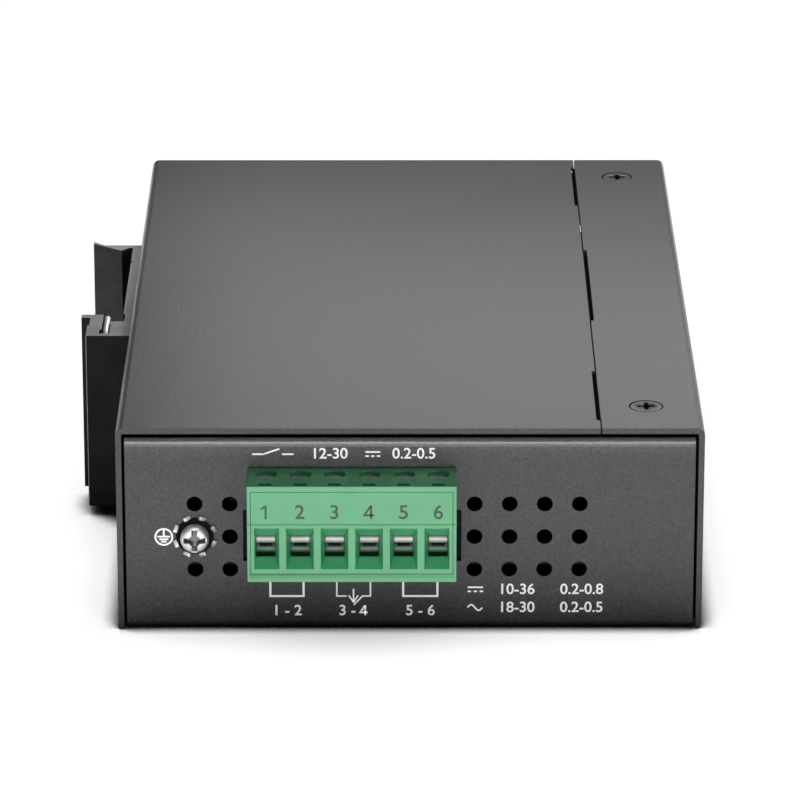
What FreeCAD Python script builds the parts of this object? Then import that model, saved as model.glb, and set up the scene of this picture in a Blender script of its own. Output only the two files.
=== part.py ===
"""Slim DIN-rail media converter: folded sheet case, rail clip, ports and a pluggable screw terminal.

Millimetres. The case lies on its large side: +Z is up, the terminal end faces -Y, the rail clip is
on -X and the port face on +X. The origin is the centre of the underside.
"""
import FreeCAD
import Part
import Sketcher
import math
import os
import re

POLES = 6
WASHER_TEETH = 8
VENT_ROWS = (-1, 0, 1)
LEFT_VENT_COLUMNS = (0, 1)
RIGHT_VENT_COLUMNS = (0, 1, 2, 3)
FAR_VENT_COLUMNS = 12
JACK_CONTACTS = 8
LED_COLUMNS = 3
LED_ROWS = 2

SIZES = {
    # Folded sheet case
    "case_depth": 87.0,
    "case_length": 131.6,
    "case_height": 31.9,
    "sheet": 0.9,
    "bend_inside": 0.25,
    "panel_inset": 0.5,
    "side_gap": 0.35,
    "flange_depth": 14.0,
    "upstand_height": 25.0,
    "upstand_length": 84.0,
    "bend_relief": 1.0,
    # Seam between the main cover or the base and the front cap
    "seam_offset": 15.3,
    "seam_gap": 0.15,
    "tab_clearance": 0.05,
    "joggle_run": 0.5,
    "base_joggle_run": 1.2,
    "end_notch_start": 3.7,
    "end_notch_length": 21.4,
    "mid_notch_length": 34.6,
    "tab_reach": 6.5,
    "base_tab_reach": 12.0,
    "tab_side_gap": 0.3,
    # Fasteners of the case
    "screw_radius": 1.45,
    "hole_clearance": 0.1,
    "nut_clearance": 0.05,
    "csk_radius": 2.5,
    "csk_clearance": 0.08,
    "cap_screw_length": 6.0,
    "cap_screw_x": 8.3,
    "cap_screw_y": 9.6,
    "nut_radius": 2.75,
    "nut_height": 1.5,
    # Vents and the ground terminal
    "vent_radius": 1.14,
    "vent_pitch": 5.2,
    "vent_margin": 2.0,
    "vent_height": 14.6,
    "ground_head_radius": 2.25,
    "ground_rim_height": 0.9,
    "ground_dome_height": 0.8,
    "ground_screw_length": 5.0,
    "washer_tip_radius": 3.3,
    "washer_root_radius": 2.75,
    "washer_thickness": 0.5,
    # Rail clip, an extruded profile, and its wire spring
    "clip_margin": 1.75,
    "clip_start": -19.5,
    "clip_base": 1.5,
    "clip_reach": 6.9,
    "clip_lip_reach": 8.0,
    "clip_step": 0.28,
    "clip_step_at": 5.0,
    "clip_block_depth": 6.9,
    "clip_arm_length": 10.1,
    "clip_lip_thickness": 1.55,
    "clip_slot_inner": 3.3,
    "clip_slot_floor": 1.2,
    "clip_pocket_depth": 2.1,
    "clip_pocket_step": 0.35,
    "clip_relief": 0.3,
    "clip_relief_length": 3.4,
    "clip_groove": 0.45,
    "clip_groove_back": 7.3,
    "rail_width": 35.0,
    "rail_play": 1.45,
    "rail_grip": 1.5,
    "rail_slot": 1.75,
    "hook_root": 0.5,
    "hook_back": 1.25,
    "hook_rise": 3.4,
    "hook_shoulder": 6.1,
    "hook_tip": 1.2,
    "clip_screw_spacing": 18.0,
    "clip_screw_length": 4.6,
    "spring_wire": 1.0,
    "spring_side_gap": 0.1,
    "spring_seat_gap": 0.05,
    "spring_bend": 1.6,
    "spring_end_gap": 0.5,
    "spring_drop": 0.1,
    # Circuit board and its standoffs
    "standoff_height": 8.0,
    "standoff_radius": 2.75,
    "standoff_foot_radius": 2.1,
    "standoff_foot_gap": 0.05,
    "standoff_rear": 9.5,
    "standoff_seam": 6.4,
    "standoff_end": 8.4,
    "board_thickness": 1.6,
    "board_margin": 1.2,
    "board_end_gap": 2.4,
    "board_screw_head": 2.7,
    "board_screw_head_height": 1.8,
    "board_screw_length": 5.0,
    # Pluggable terminal: header, plug housing and front insert
    "pole_pitch": 5.08,
    "plug_x": -8.57,
    "plug_margin": 0.16,
    "plug_lift": 0.1,
    "plug_height": 15.08,
    "plug_proud": 8.14,
    "plug_gap": 0.3,
    "plug_slot_gap": 0.75,
    "cutout_height": 8.1,
    "header_margin": 1.0,
    "header_height": 8.57,
    "header_wall": 0.7,
    "header_side": 0.9,
    "header_gap": 0.3,
    "header_depth": 12.0,
    "socket_depth": 9.3,
    "plug_fit": 0.1,
    "neck_gap": 0.3,
    "face_side": 0.5,
    "face_top": 0.86,
    "face_bottom": 1.27,
    "face_depth": 2.6,
    "face_fit": 0.06,
    "face_line": 0.14,
    "face_line_height": 4.15,
    "mouth_half": 2.03,
    "mouth_half_end": 1.63,
    "mouth_below": 2.92,
    "mouth_above": 3.58,
    "throat_half": 1.43,
    "throat_below": 1.82,
    "throat_above": 1.49,
    "key_half": 0.95,
    "key_start": 0.42,
    "key_length": 0.85,
    "key_depth": 0.6,
    # Rising-cage clamps
    "pin_width": 1.0,
    "pin_hole_gap": 0.1,
    "pin_start": 2.8,
    "pin_foot": 1.5,
    "pin_leg_gap": 0.3,
    "bar_gap": 0.27,
    "bar_half": 1.35,
    "bar_thickness": 0.8,
    "bar_end_gap": 1.0,
    "leaf_gap": 0.05,
    "leaf_thickness": 0.5,
    "leaf_drop": 1.57,
    "channel_gap": 0.08,
    "nose_radius": 0.73,
    "nose_at": 3.45,
    "clamp_screw_at": 5.1,
    "clamp_screw_radius": 1.2,
    "clamp_tip_radius": 0.8,
    "clamp_head_radius": 1.45,
    "clamp_head_height": 1.5,
    "clamp_head_sink": 1.1,
    "clamp_slot_half": 0.25,
    "clamp_slot_depth": 0.6,
    "clamp_bore_gap": 0.08,
    "funnel_radius": 1.68,
    "funnel_depth": 0.3,
    "cage_half": 1.9,
    "cage_wall": 0.5,
    "cage_plate": 0.9,
    "cage_half_depth": 1.6,
    "cage_gap": 0.1,
    "cage_travel": 2.0,
    "cage_slit_gap": 0.05,
    "cage_trough_half": 0.93,
    "cage_trough": 0.3,
    # Ports
    "port_gap": 0.2,
    "port_proud": 0.4,
    "jack_y": 34.0,
    "jack_width": 16.0,
    "jack_height": 13.4,
    "jack_depth": 21.3,
    "jack_mouth_width": 11.8,
    "jack_mouth_height": 6.8,
    "jack_mouth_low": 4.9,
    "jack_mouth_depth": 13.0,
    "jack_latch_width": 6.2,
    "jack_latch_height": 1.5,
    "jack_key_width": 3.6,
    "jack_key_height": 1.3,
    "contact_pitch": 1.02,
    "contact_width": 0.4,
    "contact_height": 0.35,
    "contact_length": 9.0,
    "sfp_y": 8.0,
    "sfp_width": 14.3,
    "sfp_height": 9.9,
    "sfp_depth": 47.5,
    "sfp_wall": 0.4,
    "sfp_plug_depth": 36.0,
    "sfp_slot_width": 10.6,
    "sfp_slot_height": 1.4,
    "sfp_slot_depth": 5.0,
    "led_y": -30.0,
    "led_pitch": 4.6,
    "led_row_pitch": 4.2,
    "led_low": 3.6,
    "led_radius": 1.1,
    "led_gap": 0.1,
    "led_proud": 0.35,
    "led_holder_depth": 7.0,
    "led_holder_margin": 2.6,
    "led_holder_gap": 0.4,
    "capacitor_radius": 5.0,
    "capacitor_height": 15.5,
    "capacitor_spacing": 11.5,
    "capacitor_x": 40.5,
}

# Board components as blocks: centre in X from the board's rear edge, centre in Y from the stated datum,
# length, width, height.
COMPONENTS = {
    "alarm_relay": ("header", 10.5, 14.0, 15.5, 19.0, 15.3),
    "bridge_rectifier": ("header", 64.0, 9.0, 8.5, 6.5, 3.2),
    "power_transformer": ("header", 15.5, 36.0, 20.0, 19.0, 14.5),
    "power_inductor": ("middle", 12.5, 9.0, 12.5, 12.5, 7.5),
    "switch_chip": ("middle", 28.5, 34.0, 14.0, 14.0, 1.5),
    "lan_transformer": ("middle", 52.5, 34.0, 9.5, 15.0, 6.0),
    "crystal": ("middle", 28.5, 50.0, 11.0, 4.5, 3.6),
}
for component, (datum, *values) in COMPONENTS.items():
    for field, number in zip(("x", "y", "long", "wide", "tall"), values):
        SIZES[f"{component}_{field}"] = number

# Places worked out from the sizes, written as expressions
HALF_X = "(case_depth / 2)"
HALF_Y = "(case_length / 2)"
WALL_X = "(case_depth / 2 - sheet)"
PANEL_X = "(case_depth / 2 - sheet - side_gap)"
PANEL_Y = "(case_length / 2 - panel_inset)"
PANEL_IN = "(case_length / 2 - panel_inset - sheet)"
BEND_OUT = "(bend_inside + sheet)"
LID_GAP = "(sheet + 2 * tab_clearance)"
FLANGE_TOP = f"(case_height - sheet - {LID_GAP})"
FLANGE_LOW = f"({FLANGE_TOP} - sheet)"
SEAM_X = "(case_depth / 2 - seam_offset)"
COVER_EDGE = f"({SEAM_X} - seam_gap / 2)"
CAP_EDGE = f"({SEAM_X} + seam_gap / 2)"
TAB_RISE = "(sheet + tab_clearance)"
BASE_TAB_RISE = f"(sheet + {LID_GAP})"
HOLE = "(screw_radius + hole_clearance)"
CAP_SCREW_X = f"({HALF_X} - cap_screw_x)"
CAP_SCREW_Y = f"({HALF_Y} - cap_screw_y)"
END_NOTCH_OUT = f"({HALF_Y} - end_notch_start)"
END_NOTCH_IN = f"({END_NOTCH_OUT} - end_notch_length)"

BOARD_LOW = "(sheet + standoff_height)"
BOARD_TOP = f"({BOARD_LOW} + board_thickness)"
BOARD_REAR = f"(-{WALL_X} + sheet + board_margin)"

PLUG_HALF = f"({POLES} * pole_pitch / 2 + plug_margin)"
PLUG_FRONT = f"(-{PANEL_Y} - plug_proud)"
PLUG_BACK = f"(-{PANEL_Y} - plug_gap)"
PLUG_LOW = f"({BOARD_TOP} + plug_lift)"
PLUG_HIGH = f"({PLUG_LOW} + plug_height)"
HEADER_MID = f"({BOARD_TOP} + header_height / 2)"
HEADER_HALF = f"({POLES} * pole_pitch / 2 + header_margin)"
HEADER_FRONT = f"(-{PANEL_IN} + header_gap)"
HEADER_BACK = f"({HEADER_FRONT} + header_depth)"
SOCKET_HALF = f"({HEADER_HALF} - header_side)"
SOCKET_LOW = f"({BOARD_TOP} + header_wall)"
SOCKET_HIGH = f"({BOARD_TOP} + header_height - header_wall)"
NECK_HALF = f"({SOCKET_HALF} - plug_fit)"
NECK_LOW = f"({SOCKET_LOW} + plug_fit)"
NECK_HIGH = f"({SOCKET_HIGH} - plug_fit)"
NECK_BACK = f"({HEADER_FRONT} + socket_depth - neck_gap)"
FACE_HALF = f"({PLUG_HALF} - face_side)"
FACE_LOW = f"({PLUG_LOW} + face_bottom)"
FACE_HIGH = f"({PLUG_HIGH} - face_top)"
FACE_BACK = f"({PLUG_FRONT} + face_depth)"

CLAMP_Z = f"({HEADER_MID} + pin_width / 2 + bar_gap)"
BAR_HIGH = f"({CLAMP_Z} + bar_thickness)"
NOSE_HIGH = f"({CLAMP_Z} + 2 * nose_radius)"
CLAMP_SCREW_Y = f"({PLUG_FRONT} + clamp_screw_at)"
HEAD_HIGH = f"({PLUG_HIGH} - clamp_head_sink)"
HEAD_LOW = f"({HEAD_HIGH} - clamp_head_height)"
JAW_Z = f"({CLAMP_Z} - cage_slit_gap)"
CAGE_LOW = f"({JAW_Z} - cage_plate)"
CAGE_ROOF = f"({NOSE_HIGH} + cage_travel + cage_gap)"
CAGE_HIGH = f"({CAGE_ROOF} + cage_plate)"
CHAMBER_LOW = f"({JAW_Z} - 2 * nose_radius - cage_travel - cage_gap)"
CHAMBER_HIGH = f"({CAGE_HIGH} + cage_gap)"
CHAMBER_HALF = "(cage_half + cage_gap)"
CHAMBER_BACK = f"({CLAMP_SCREW_Y} + cage_half_depth + cage_gap)"

CUTOUT_HALF = f"({PLUG_HALF} + plug_slot_gap)"
GROUND_X = f"(plug_x - {CUTOUT_HALF} - vent_margin - vent_pitch)"

CLIP_FRONT = "clip_start"
CLIP_LOW = "clip_margin"
CLIP_HIGH = "(case_height - clip_margin)"
CLIP_BLOCK_BACK = "(clip_start + clip_block_depth)"
CLIP_SLOT_OUTER = "(clip_slot_inner + spring_wire + 2 * spring_side_gap)"
RAIL_END = f"({CLIP_BLOCK_BACK} + rail_width + rail_play)"
CLIP_SCREW_MID = f"(({CLIP_BLOCK_BACK} + {RAIL_END}) / 2)"

PORT_FACE = f"({HALF_X} + port_proud)"

DOC = FreeCAD.newDocument("media_converter")
SHEET = DOC.addObject("Spreadsheet::Sheet", "Sizes")
PIECES = {}


def fill_sheet():
    """Write every size into its own named cell."""
    for row, (name, number) in enumerate(SIZES.items(), 1):
        SHEET.set(f"A{row}", name)
        SHEET.set(f"B{row}", str(number))
        SHEET.setAlias(f"B{row}", name)
    DOC.recompute()


def sized(text):
    """Return an expression whose size names point at the sheet's cells."""
    def cell(match):
        word = match.group(0)
        return f"Sizes.{word}" if word in SIZES else word
    return re.sub(r"[a-z][a-z0-9_]*", cell, str(text))


def size(name):
    """Return the value of a sheet cell."""
    return float(SHEET.get(name))


def pole_x(pole):
    """Return the middle of a terminal pole in X, as an expression."""
    return f"(plug_x + {pole - (POLES - 1) / 2} * pole_pitch)"


def rect(low_a, low_b, high_a, high_b):
    """Return a rectangular loop between two corners."""
    return polygon((low_a, low_b), (high_a, low_b), (high_a, high_b), (low_a, high_b))


def block(mid_a, mid_b, half_a, half_b):
    """Return a rectangular loop about a middle point."""
    return rect(f"{mid_a} - {half_a}", f"{mid_b} - {half_b}", f"{mid_a} + {half_a}", f"{mid_b} + {half_b}")


def polygon(*corners):
    """Return a closed loop of straight sides."""
    return ("polygon", corners)


def disc(mid_a, mid_b, radius):
    """Return a circular loop."""
    return ("disc", (mid_a, mid_b, radius))


class Piece:
    """One sub-part: a body whose sketches and lengths are bound to the sheet."""

    PLANES = {"XY": "XY_Plane", "XZ": "XZ_Plane", "YZ": "YZ_Plane"}

    def __init__(self, label):
        self.body = DOC.addObject("PartDesign::Body", label)
        self.body.Label = label
        self.profile = None
        PIECES[label] = self.body

    def sketch(self, plane, loops, level):
        """Draw loops on a plane that lies level along the axis the plane leaves out."""
        role = self.PLANES[plane]
        support = next(item for item in self.body.Origin.OriginFeatures if item.Role == role)
        drawing = self.body.newObject("Sketcher::SketchObject", "Sketch")
        drawing.AttachmentSupport = [(support, "")]
        drawing.MapMode = "FlatFace"
        along = f"-({level})" if plane == "XZ" else f"({level})"
        drawing.setExpression(".AttachmentOffset.Base.z", sized(along))
        for kind, data in loops:
            if kind == "disc":
                self.draw_disc(drawing, *data)
            else:
                self.draw_polygon(drawing, data)
        return drawing

    @staticmethod
    def fix_point(drawing, geometry, point, position):
        """Hold a sketch point at a bound position."""
        for kind, text in zip(("DistanceX", "DistanceY"), position):
            constraint = drawing.addConstraint(Sketcher.Constraint(kind, -1, 1, geometry, point, 1.0))
            drawing.setExpression(f"Constraints[{constraint}]", sized(text))

    def draw_disc(self, drawing, mid_a, mid_b, radius):
        """Add a bound circle to a sketch."""
        circle = Part.Circle(FreeCAD.Vector(1, 1, 0), FreeCAD.Vector(0, 0, 1), 1.0)
        geometry = drawing.addGeometry(circle, False)
        self.fix_point(drawing, geometry, 3, (mid_a, mid_b))
        constraint = drawing.addConstraint(Sketcher.Constraint("Radius", geometry, 1.0))
        drawing.setExpression(f"Constraints[{constraint}]", sized(radius))

    def draw_polygon(self, drawing, corners):
        """Add a bound polygon to a sketch."""
        count = len(corners)
        turns = [2 * math.pi * index / count for index in range(count + 1)]
        points = [FreeCAD.Vector(math.cos(turn), math.sin(turn), 0) for turn in turns]
        first = drawing.GeometryCount
        for index in range(count):
            drawing.addGeometry(Part.LineSegment(points[index], points[index + 1]), False)
        for index in range(count):
            following = first + (index + 1) % count
            drawing.addConstraint(Sketcher.Constraint("Coincident", first + index, 2, following, 1))
        for index, corner in enumerate(corners):
            self.fix_point(drawing, first + index, 1, corner)

    def extrude(self, kind, plane, loops, low, high, taper=0):
        """Add or remove the loops between two levels along the axis the plane leaves out."""
        start = high if plane == "XZ" else low
        self.profile = self.sketch(plane, loops, start)
        feature = self.body.newObject(f"PartDesign::{kind}", kind)
        feature.Profile = self.profile
        feature.Reversed = kind == "Pocket"
        feature.setExpression("Length", sized(f"({high}) - ({low})"))
        feature.TaperAngle = taper
        return self

    def add(self, plane, loops, low, high, taper=0):
        """Add material."""
        return self.extrude("Pad", plane, loops, low, high, taper)

    def cut(self, plane, loops, low, high, taper=0):
        """Remove material."""
        return self.extrude("Pocket", plane, loops, low, high, taper)

    def funnel(self, front_loop, front, back_loop, back):
        """Remove the loft between two loops in the XZ plane."""
        mouth = self.sketch("XZ", [front_loop], front)
        throat = self.sketch("XZ", [back_loop], back)
        loft = self.body.newObject("PartDesign::SubtractiveLoft", "Loft")
        loft.Profile = mouth
        loft.Sections = [throat]
        loft.Ruled = True
        return self

    def round(self, radius, corners, profile=None):
        """Round the edges that the last extrusion drew from the given corners."""
        DOC.recompute()
        drawing = profile or self.profile
        place = drawing.Placement
        points = [place.multVec(drawing.Geometry[corner].StartPoint) for corner in corners]
        along = place.Rotation.multVec(FreeCAD.Vector(0, 0, 1))
        base = self.body.Tip
        names = []
        for number, edge in enumerate(base.Shape.Edges, 1):
            start = edge.Vertexes[0].Point
            end = edge.Vertexes[-1].Point
            if any(is_on_line(point, along, start) and is_on_line(point, along, end) for point in points):
                names.append(f"Edge{number}")
        fillet = self.body.newObject("PartDesign::Fillet", "Fillet")
        fillet.Base = (base, names)
        fillet.setExpression("Radius", sized(radius))
        self.profile = drawing
        return self


def is_on_line(point, along, other):
    """Return whether another point lies on the line through a point."""
    return (other - point).cross(along).Length < 1e-6


def joggle(edge, ahead, face, inward, rise, run, reach):
    """Return the profile of a tab that steps inward from a sheet's edge and reaches past it.

    Args:
        edge: the sheet edge in X
        ahead: +1 or -1, the way the tab reaches in X
        face: the sheet's outer face in Z
        inward: +1 or -1, the way into the case in Z
        rise, run, reach: the step's height and length, and the tab's whole length
    """
    ease = f"sheet * (sqrt(({run})^2 + ({rise})^2) - ({run})) / ({rise})"
    root = f"{edge} - ({ahead}) * 2 * sheet"
    step = f"{edge} + ({ahead}) * ({run})"
    tip = f"{edge} + ({ahead}) * ({reach})"
    inner = f"{face} + ({inward}) * sheet"
    tab_outer = f"{face} + ({inward}) * ({rise})"
    tab_inner = f"{face} + ({inward}) * ({rise} + sheet)"
    return polygon(
        (root, face),
        (edge, face),
        (step, tab_outer),
        (tip, tab_outer),
        (tip, tab_inner),
        (f"{step} - ({ahead}) * ({ease})", tab_inner),
        (f"{edge} - ({ahead}) * ({ease})", inner),
        (root, inner),
    )


def both_ends(low, high):
    """Return the two mirrored Y ranges of a feature given at the far end."""
    return ((f"-({high})", f"-({low})"), (low, high))


END_TABS = both_ends(f"{END_NOTCH_IN} + tab_side_gap", f"{END_NOTCH_OUT} - tab_side_gap")
MID_TAB = ("-(mid_notch_length / 2 - tab_side_gap)", "(mid_notch_length / 2 - tab_side_gap)")


def near_vents():
    """Return the vent holes beside the terminal; the ground screw takes the place of one."""
    holes = []
    for row in VENT_ROWS:
        height = f"vent_height + {row} * vent_pitch"
        for column in LEFT_VENT_COLUMNS:
            if (column, row) != (1, 0):
                across = f"plug_x - {CUTOUT_HALF} - vent_margin - {column} * vent_pitch"
                holes.append(disc(across, height, "vent_radius"))
        for column in RIGHT_VENT_COLUMNS:
            across = f"plug_x + {CUTOUT_HALF} + vent_margin + {column} * vent_pitch"
            holes.append(disc(across, height, "vent_radius"))
    return holes


def far_vents():
    """Return the plain vent grid of the far end."""
    middle = (FAR_VENT_COLUMNS - 1) / 2
    return [
        disc(f"{column - middle} * vent_pitch", f"vent_height + {row} * vent_pitch", "vent_radius")
        for row in VENT_ROWS
        for column in range(FAR_VENT_COLUMNS)
    ]


def standoff_places():
    """Return the four board fixing points."""
    rear = f"-{WALL_X} + standoff_rear"
    front = f"{SEAM_X} - standoff_seam"
    end = f"({PANEL_IN} - standoff_end)"
    return [(across, f"{sign}{end}") for across in (rear, front) for sign in ("-", "")]


def cap_screw_places():
    """Return the two screw points on each large side of the cap."""
    return [(CAP_SCREW_X, f"{sign}{CAP_SCREW_Y}") for sign in ("-", "")]


def clip_screw_places():
    """Return the two clip screw points in Y and Z."""
    return [(f"{CLIP_SCREW_MID} + {sign}clip_screw_spacing / 2", "case_height / 2") for sign in ("-", "")]


def discs(places, radius):
    """Return equal circles at the given places."""
    return [disc(a, b, radius) for a, b in places]


def make_base_chassis():
    """Floor, end panels, top flanges and rear upstand, folded from one sheet."""
    base = Piece("base_chassis")
    flange_end = f"({PANEL_Y} - flange_depth)"
    hat = polygon(
        (f"-{PANEL_Y}", "0"),
        (PANEL_Y, "0"),
        (PANEL_Y, FLANGE_TOP),
        (flange_end, FLANGE_TOP),
        (flange_end, FLANGE_LOW),
        (PANEL_IN, FLANGE_LOW),
        (PANEL_IN, "sheet"),
        (f"-{PANEL_IN}", "sheet"),
        (f"-{PANEL_IN}", FLANGE_LOW),
        (f"-{flange_end}", FLANGE_LOW),
        (f"-{flange_end}", FLANGE_TOP),
        (f"-{PANEL_Y}", FLANGE_TOP),
    )
    base.add("YZ", [hat], f"-{PANEL_X}", PANEL_X)
    base.round(BEND_OUT, (0, 1, 2, 11))
    base.round("bend_inside", (5, 6, 7, 8))
    strip = rect(COVER_EDGE, f"-{PANEL_IN}", f"{HALF_X}", PANEL_IN)
    base.cut("XY", [strip], "-sheet", BEND_OUT)
    inner = f"-{WALL_X} + sheet"
    relief = "(upstand_length / 2 + bend_relief)"
    base.cut("XY", [rect(f"-{HALF_X}", f"-{relief}", f"{inner} + 2 * sheet", relief)], "-sheet", "2 * sheet")
    upstand = polygon(
        (f"-{WALL_X}", "0"),
        (f"-{WALL_X}", "upstand_height"),
        (inner, "upstand_height"),
        (inner, "sheet"),
        (f"{inner} + 2 * sheet", "sheet"),
        (f"{inner} + 2 * sheet", "0"),
    )
    base.add("XZ", [upstand], "-upstand_length / 2", "upstand_length / 2")
    base.round(BEND_OUT, (0,))
    base.round("bend_inside", (3,))
    middle = rect(f"{COVER_EDGE} - joggle_run", "-mid_notch_length / 2", f"{HALF_X}", "mid_notch_length / 2")
    base.cut("XY", [middle], "-sheet", "2 * sheet")
    tab = joggle(COVER_EDGE, 1, "0", 1, BASE_TAB_RISE, "base_joggle_run", "base_tab_reach")
    for low, high in END_TABS:
        base.add("XZ", [tab], low, high)
    screws = discs(cap_screw_places(), HOLE)
    base.cut("XY", screws, "sheet", f"{BASE_TAB_RISE} + 2 * sheet")
    base.cut("XY", screws, f"{FLANGE_LOW} - sheet", f"{FLANGE_TOP} + sheet")
    base.cut("XY", discs(standoff_places(), "standoff_foot_radius"), "-sheet", "2 * sheet")
    base.cut("YZ", discs(clip_screw_places(), HOLE), f"-{HALF_X}", f"{inner} + sheet")
    cutout = block("plug_x", HEADER_MID, CUTOUT_HALF, "cutout_height / 2")
    openings = [cutout, disc(GROUND_X, "vent_height", HOLE)] + near_vents()
    base.cut("XZ", openings, f"-{HALF_Y}", f"-{PANEL_IN} + panel_inset")
    base.cut("XZ", far_vents(), f"{PANEL_IN} - panel_inset", HALF_Y)


def make_main_cover():
    """Large side and rear wall, folded from one sheet, with the seam's notches and middle tab."""
    cover = Piece("main_cover")
    section = polygon(
        (f"-{HALF_X}", "0"),
        (f"-{HALF_X}", "case_height"),
        (COVER_EDGE, "case_height"),
        (COVER_EDGE, "case_height - sheet"),
        (f"-{WALL_X}", "case_height - sheet"),
        (f"-{WALL_X}", "0"),
    )
    cover.add("XZ", [section], f"-{HALF_Y}", HALF_Y)
    cover.round(BEND_OUT, (1,))
    cover.round("bend_inside", (4,))
    notches = [
        rect(f"{COVER_EDGE} - joggle_run", low, SEAM_X, high)
        for low, high in both_ends(END_NOTCH_IN, END_NOTCH_OUT)
    ]
    cover.cut("XY", notches, "case_height - 2 * sheet", "case_height + sheet")
    tab = joggle(COVER_EDGE, 1, "case_height", -1, TAB_RISE, "joggle_run", "tab_reach")
    cover.add("XZ", [tab], *MID_TAB)
    cover.cut("YZ", discs(clip_screw_places(), HOLE), f"-{HALF_X} - sheet", f"-{WALL_X} + sheet")


def make_front_cap():
    """C-shaped port face with its seam tabs, screw dimples and port openings."""
    cap = Piece("front_cap")
    section = polygon(
        (CAP_EDGE, "case_height"),
        (HALF_X, "case_height"),
        (HALF_X, "0"),
        (CAP_EDGE, "0"),
        (CAP_EDGE, "sheet"),
        (WALL_X, "sheet"),
        (WALL_X, "case_height - sheet"),
        (CAP_EDGE, "case_height - sheet"),
    )
    cap.add("XZ", [section], f"-{HALF_Y}", HALF_Y)
    cap.round(BEND_OUT, (1, 2))
    cap.round("bend_inside", (5, 6))
    reliefs = [
        rect(SEAM_X, low, WALL_X, high)
        for low, high in both_ends(f"{PANEL_IN} - side_gap", f"{HALF_Y} + sheet")
    ]
    cap.cut("XY", reliefs, "-sheet", BEND_OUT)
    middle = rect(SEAM_X, "-mid_notch_length / 2", f"{CAP_EDGE} + joggle_run", "mid_notch_length / 2")
    cap.cut("XY", [middle], "case_height - 2 * sheet", "case_height + sheet")
    ends = [
        rect(SEAM_X, low, f"{CAP_EDGE} + base_joggle_run", high)
        for low, high in both_ends(END_NOTCH_IN, END_NOTCH_OUT)
    ]
    cap.cut("XY", ends, "-sheet", "2 * sheet")
    top_tab = joggle(CAP_EDGE, -1, "case_height", -1, TAB_RISE, "joggle_run", "tab_reach")
    for low, high in END_TABS:
        cap.add("XZ", [top_tab], low, high)
    low_tab = joggle(CAP_EDGE, -1, "0", 1, TAB_RISE, "joggle_run", "tab_reach")
    cap.add("XZ", [low_tab], *MID_TAB)
    places = cap_screw_places()
    seat = f"({HOLE} + sheet / 2)"
    mouth = f"({seat} + {LID_GAP})"
    cone = f"(csk_radius + csk_clearance - {HOLE})"
    cap.add("XY", discs(places, seat), FLANGE_TOP, "case_height - sheet", 45)
    cap.add("XY", discs(places, mouth), "sheet", BASE_TAB_RISE, -45)
    cap.cut("XY", discs(places, HOLE), f"{FLANGE_TOP} - sheet", "case_height + sheet")
    cap.cut("XY", discs(places, HOLE), "-sheet", f"{BASE_TAB_RISE} + sheet")
    cap.cut("XY", discs(places, HOLE), f"case_height - {cone}", "case_height", 45)
    cap.cut("XY", discs(places, "csk_radius + csk_clearance"), "0", cone, -45)
    jack = rect(
        "jack_y - jack_width / 2 - port_gap", f"{BOARD_TOP} - port_gap",
        "jack_y + jack_width / 2 + port_gap", f"{BOARD_TOP} + jack_height + port_gap",
    )
    sfp = rect(
        "sfp_y - sfp_width / 2 - port_gap", f"{BOARD_TOP} - port_gap",
        "sfp_y + sfp_width / 2 + port_gap", f"{BOARD_TOP} + sfp_height + port_gap",
    )
    lights = discs(led_places(), "led_radius + led_gap")
    cap.cut("YZ", [jack, sfp] + lights, f"{WALL_X} - sheet", f"{HALF_X} + sheet")


def led_places():
    """Return the LED points in Y and Z."""
    middle = (LED_COLUMNS - 1) / 2
    return [
        (f"led_y + {column - middle} * led_pitch", f"{BOARD_TOP} + led_low + {row} * led_row_pitch")
        for row in range(LED_ROWS)
        for column in range(LED_COLUMNS)
    ]


def make_case_fasteners():
    """Countersunk cap screws, clip screws and all clinch nuts."""
    places = cap_screw_places()
    cone = "(csk_radius - screw_radius)"
    screws = Piece("cap_screws")
    screws.add("XY", discs(places, "screw_radius"), f"case_height - {cone}", "case_height", 45)
    screws.add("XY", discs(places, "screw_radius"), "case_height - cap_screw_length", f"case_height - {cone}")
    screws.add("XY", discs(places, "csk_radius"), "0", cone, -45)
    screws.add("XY", discs(places, "screw_radius"), cone, "cap_screw_length")

    outer = f"-{HALF_X} - clip_base"
    clip_screws = Piece("clip_screws")
    clip_screws.add("YZ", discs(clip_screw_places(), "csk_radius"), outer, f"{outer} + {cone}", -45)
    clip_screws.add(
        "YZ", discs(clip_screw_places(), "screw_radius"), f"{outer} + {cone}", f"{outer} + clip_screw_length"
    )

    def rings(at):
        return discs(at, "nut_radius") + discs(at, "screw_radius + nut_clearance")

    nuts = Piece("clinch_nuts")
    nuts.add("XY", rings(places), f"{FLANGE_LOW} - nut_height", FLANGE_LOW)
    nuts.add("XY", rings(places), f"{BASE_TAB_RISE} + sheet", f"{BASE_TAB_RISE} + sheet + nut_height")
    inner = f"-{WALL_X} + sheet"
    nuts.add("YZ", rings(clip_screw_places()), inner, f"{inner} + nut_height")
    ground = [(GROUND_X, "vent_height")]
    nuts.add("XZ", rings(ground), f"-{PANEL_IN}", f"-{PANEL_IN} + nut_height")


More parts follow.
